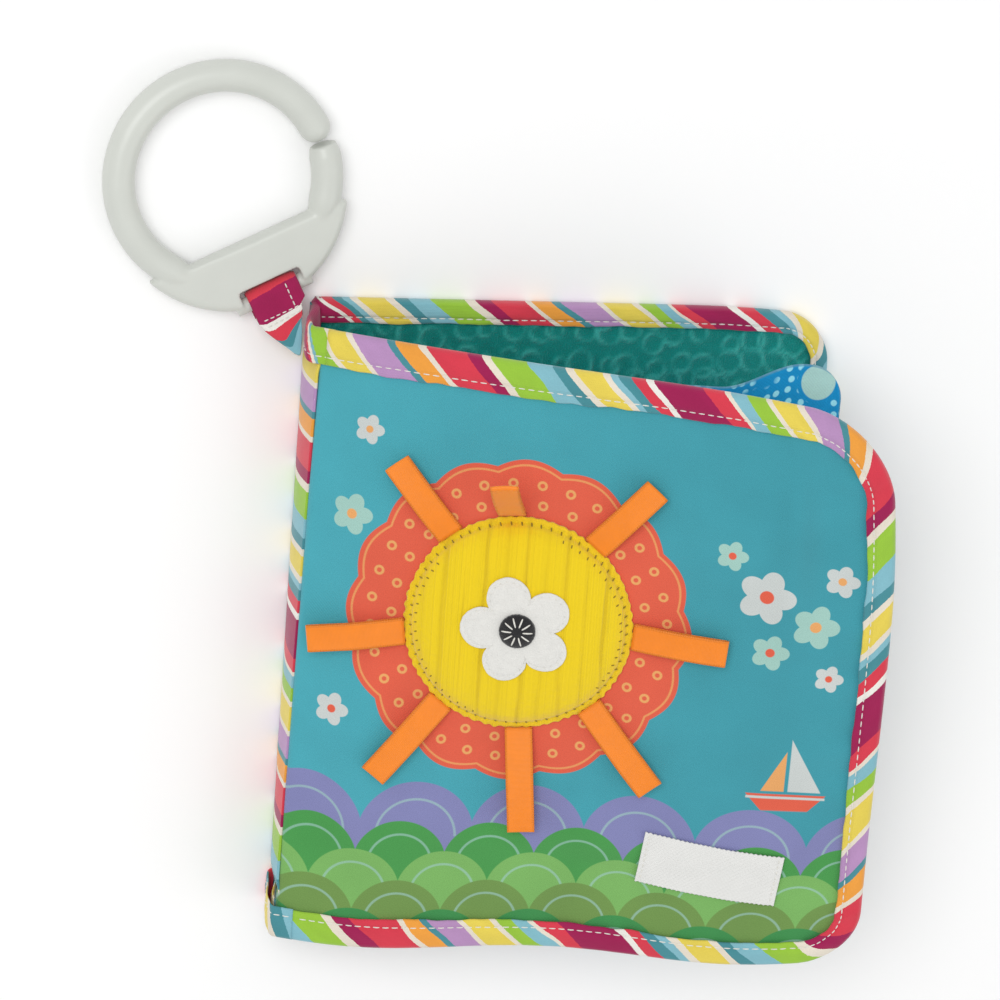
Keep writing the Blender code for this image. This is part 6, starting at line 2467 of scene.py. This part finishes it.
class BOOK_OT_bindings(bpy.types.Operator):
    """Make the striped tape round both covers, with its topstitches"""

    bl_idname = "book.bindings"
    bl_label = "Striped Bindings"

    def execute(self, context):
        make_bindings()
        return {"FINISHED"}


class BOOK_OT_spine(bpy.types.Operator):
    """Make the striped spine strip and the tape round its two ends"""

    bl_idname = "book.spine"
    bl_label = "Spine"

    def execute(self, context):
        make_spine_strip()
        make_headband("spine_head_tape", 1, "spine_head_cap")
        make_headband("spine_tail_tape", -1, "spine_tail_cap")
        return {"FINISHED"}


class BOOK_OT_inner_layers(bpy.types.Operator):
    """Make the wadding, the crinkle films, the stuffing and the spine's lining"""

    bl_idname = "book.inner_layers"
    bl_label = "Inner Layers"

    def execute(self, context):
        make_inner_layers()
        return {"FINISHED"}


class BOOK_OT_leaf(bpy.types.Operator):
    """Make the two faces of the dotted leaf"""

    bl_idname = "book.leaf"
    bl_label = "Leaf"

    def execute(self, context):
        make_leaf()
        return {"FINISHED"}


class BOOK_OT_patch(bpy.types.Operator):
    """Make the padded round patch and its dark stitches"""

    bl_idname = "book.patch"
    bl_label = "Round Patch"

    def execute(self, context):
        make_patch()
        return {"FINISHED"}


class BOOK_OT_blossom(bpy.types.Operator):
    """Make the felt blossom and its dark centre"""

    bl_idname = "book.blossom"
    bl_label = "Felt Blossom"

    def execute(self, context):
        make_blossom()
        return {"FINISHED"}


class BOOK_OT_ribbons(bpy.types.Operator):
    """Make the eight satin ribbon tabs"""

    bl_idname = "book.ribbons"
    bl_label = "Ribbon Tabs"

    def execute(self, context):
        make_ribbons()
        return {"FINISHED"}


class BOOK_OT_label(bpy.types.Operator):
    """Make the bare woven label"""

    bl_idname = "book.label"
    bl_label = "Woven Label"

    def execute(self, context):
        make_label()
        return {"FINISHED"}


class BOOK_OT_strap(bpy.types.Operator):
    """Make the striped strap that holds the ring"""

    bl_idname = "book.strap"
    bl_label = "Strap"

    def execute(self, context):
        make_strap()
        return {"FINISHED"}


class BOOK_OT_ring(bpy.types.Operator):
    """Make the plastic link ring"""

    bl_idname = "book.ring"
    bl_label = "Link Ring"

    def execute(self, context):
        make_ring()
        return {"FINISHED"}


class BOOK_OT_stage(bpy.types.Operator):
    """Make the floor, the lights and the camera"""

    bl_idname = "book.stage"
    bl_label = "Stage"

    def execute(self, context):
        make_stage()
        return {"FINISHED"}


OPERATORS = (
    BOOK_OT_front_panel, BOOK_OT_lining, BOOK_OT_plush, BOOK_OT_bindings, BOOK_OT_spine, BOOK_OT_inner_layers,
    BOOK_OT_leaf, BOOK_OT_patch, BOOK_OT_blossom, BOOK_OT_ribbons, BOOK_OT_label, BOOK_OT_strap, BOOK_OT_ring,
    BOOK_OT_stage,
)
SETTINGS = {
    "book_cloth": ClothSettings,
    "book_print": PrintSettings,
    "book_patch": PatchSettings,
    "book_ring": RingSettings,
    "book_stage": StageSettings,
}


class BOOK_PT_panel(bpy.types.Panel):
    """Lists the book's pieces and their settings"""

    bl_idname = "BOOK_PT_panel"
    bl_label = "Cloth Book"
    bl_space_type = "VIEW_3D"
    bl_region_type = "UI"
    bl_category = "Cloth Book"

    def draw(self, context):
        for operator in OPERATORS:
            self.layout.operator(operator.bl_idname)
        for name, group in SETTINGS.items():
            box = self.layout.box()
            for key in group.__annotations__:
                box.prop(getattr(context.scene, name), key)


def register():
    for name, group in SETTINGS.items():
        bpy.utils.register_class(group)
        setattr(bpy.types.Scene, name, PointerProperty(type=group))
    for operator in OPERATORS:
        bpy.utils.register_class(operator)
    bpy.utils.register_class(BOOK_PT_panel)


def unregister():
    bpy.utils.unregister_class(BOOK_PT_panel)
    for operator in reversed(OPERATORS):
        bpy.utils.unregister_class(operator)
    for name, group in SETTINGS.items():
        delattr(bpy.types.Scene, name)
        bpy.utils.unregister_class(group)


def main():
    register()
    for operator in OPERATORS:
        group, name = operator.bl_idname.split(".")
        getattr(getattr(bpy.ops, group), name)()


if __name__ == "__main__":
    main()
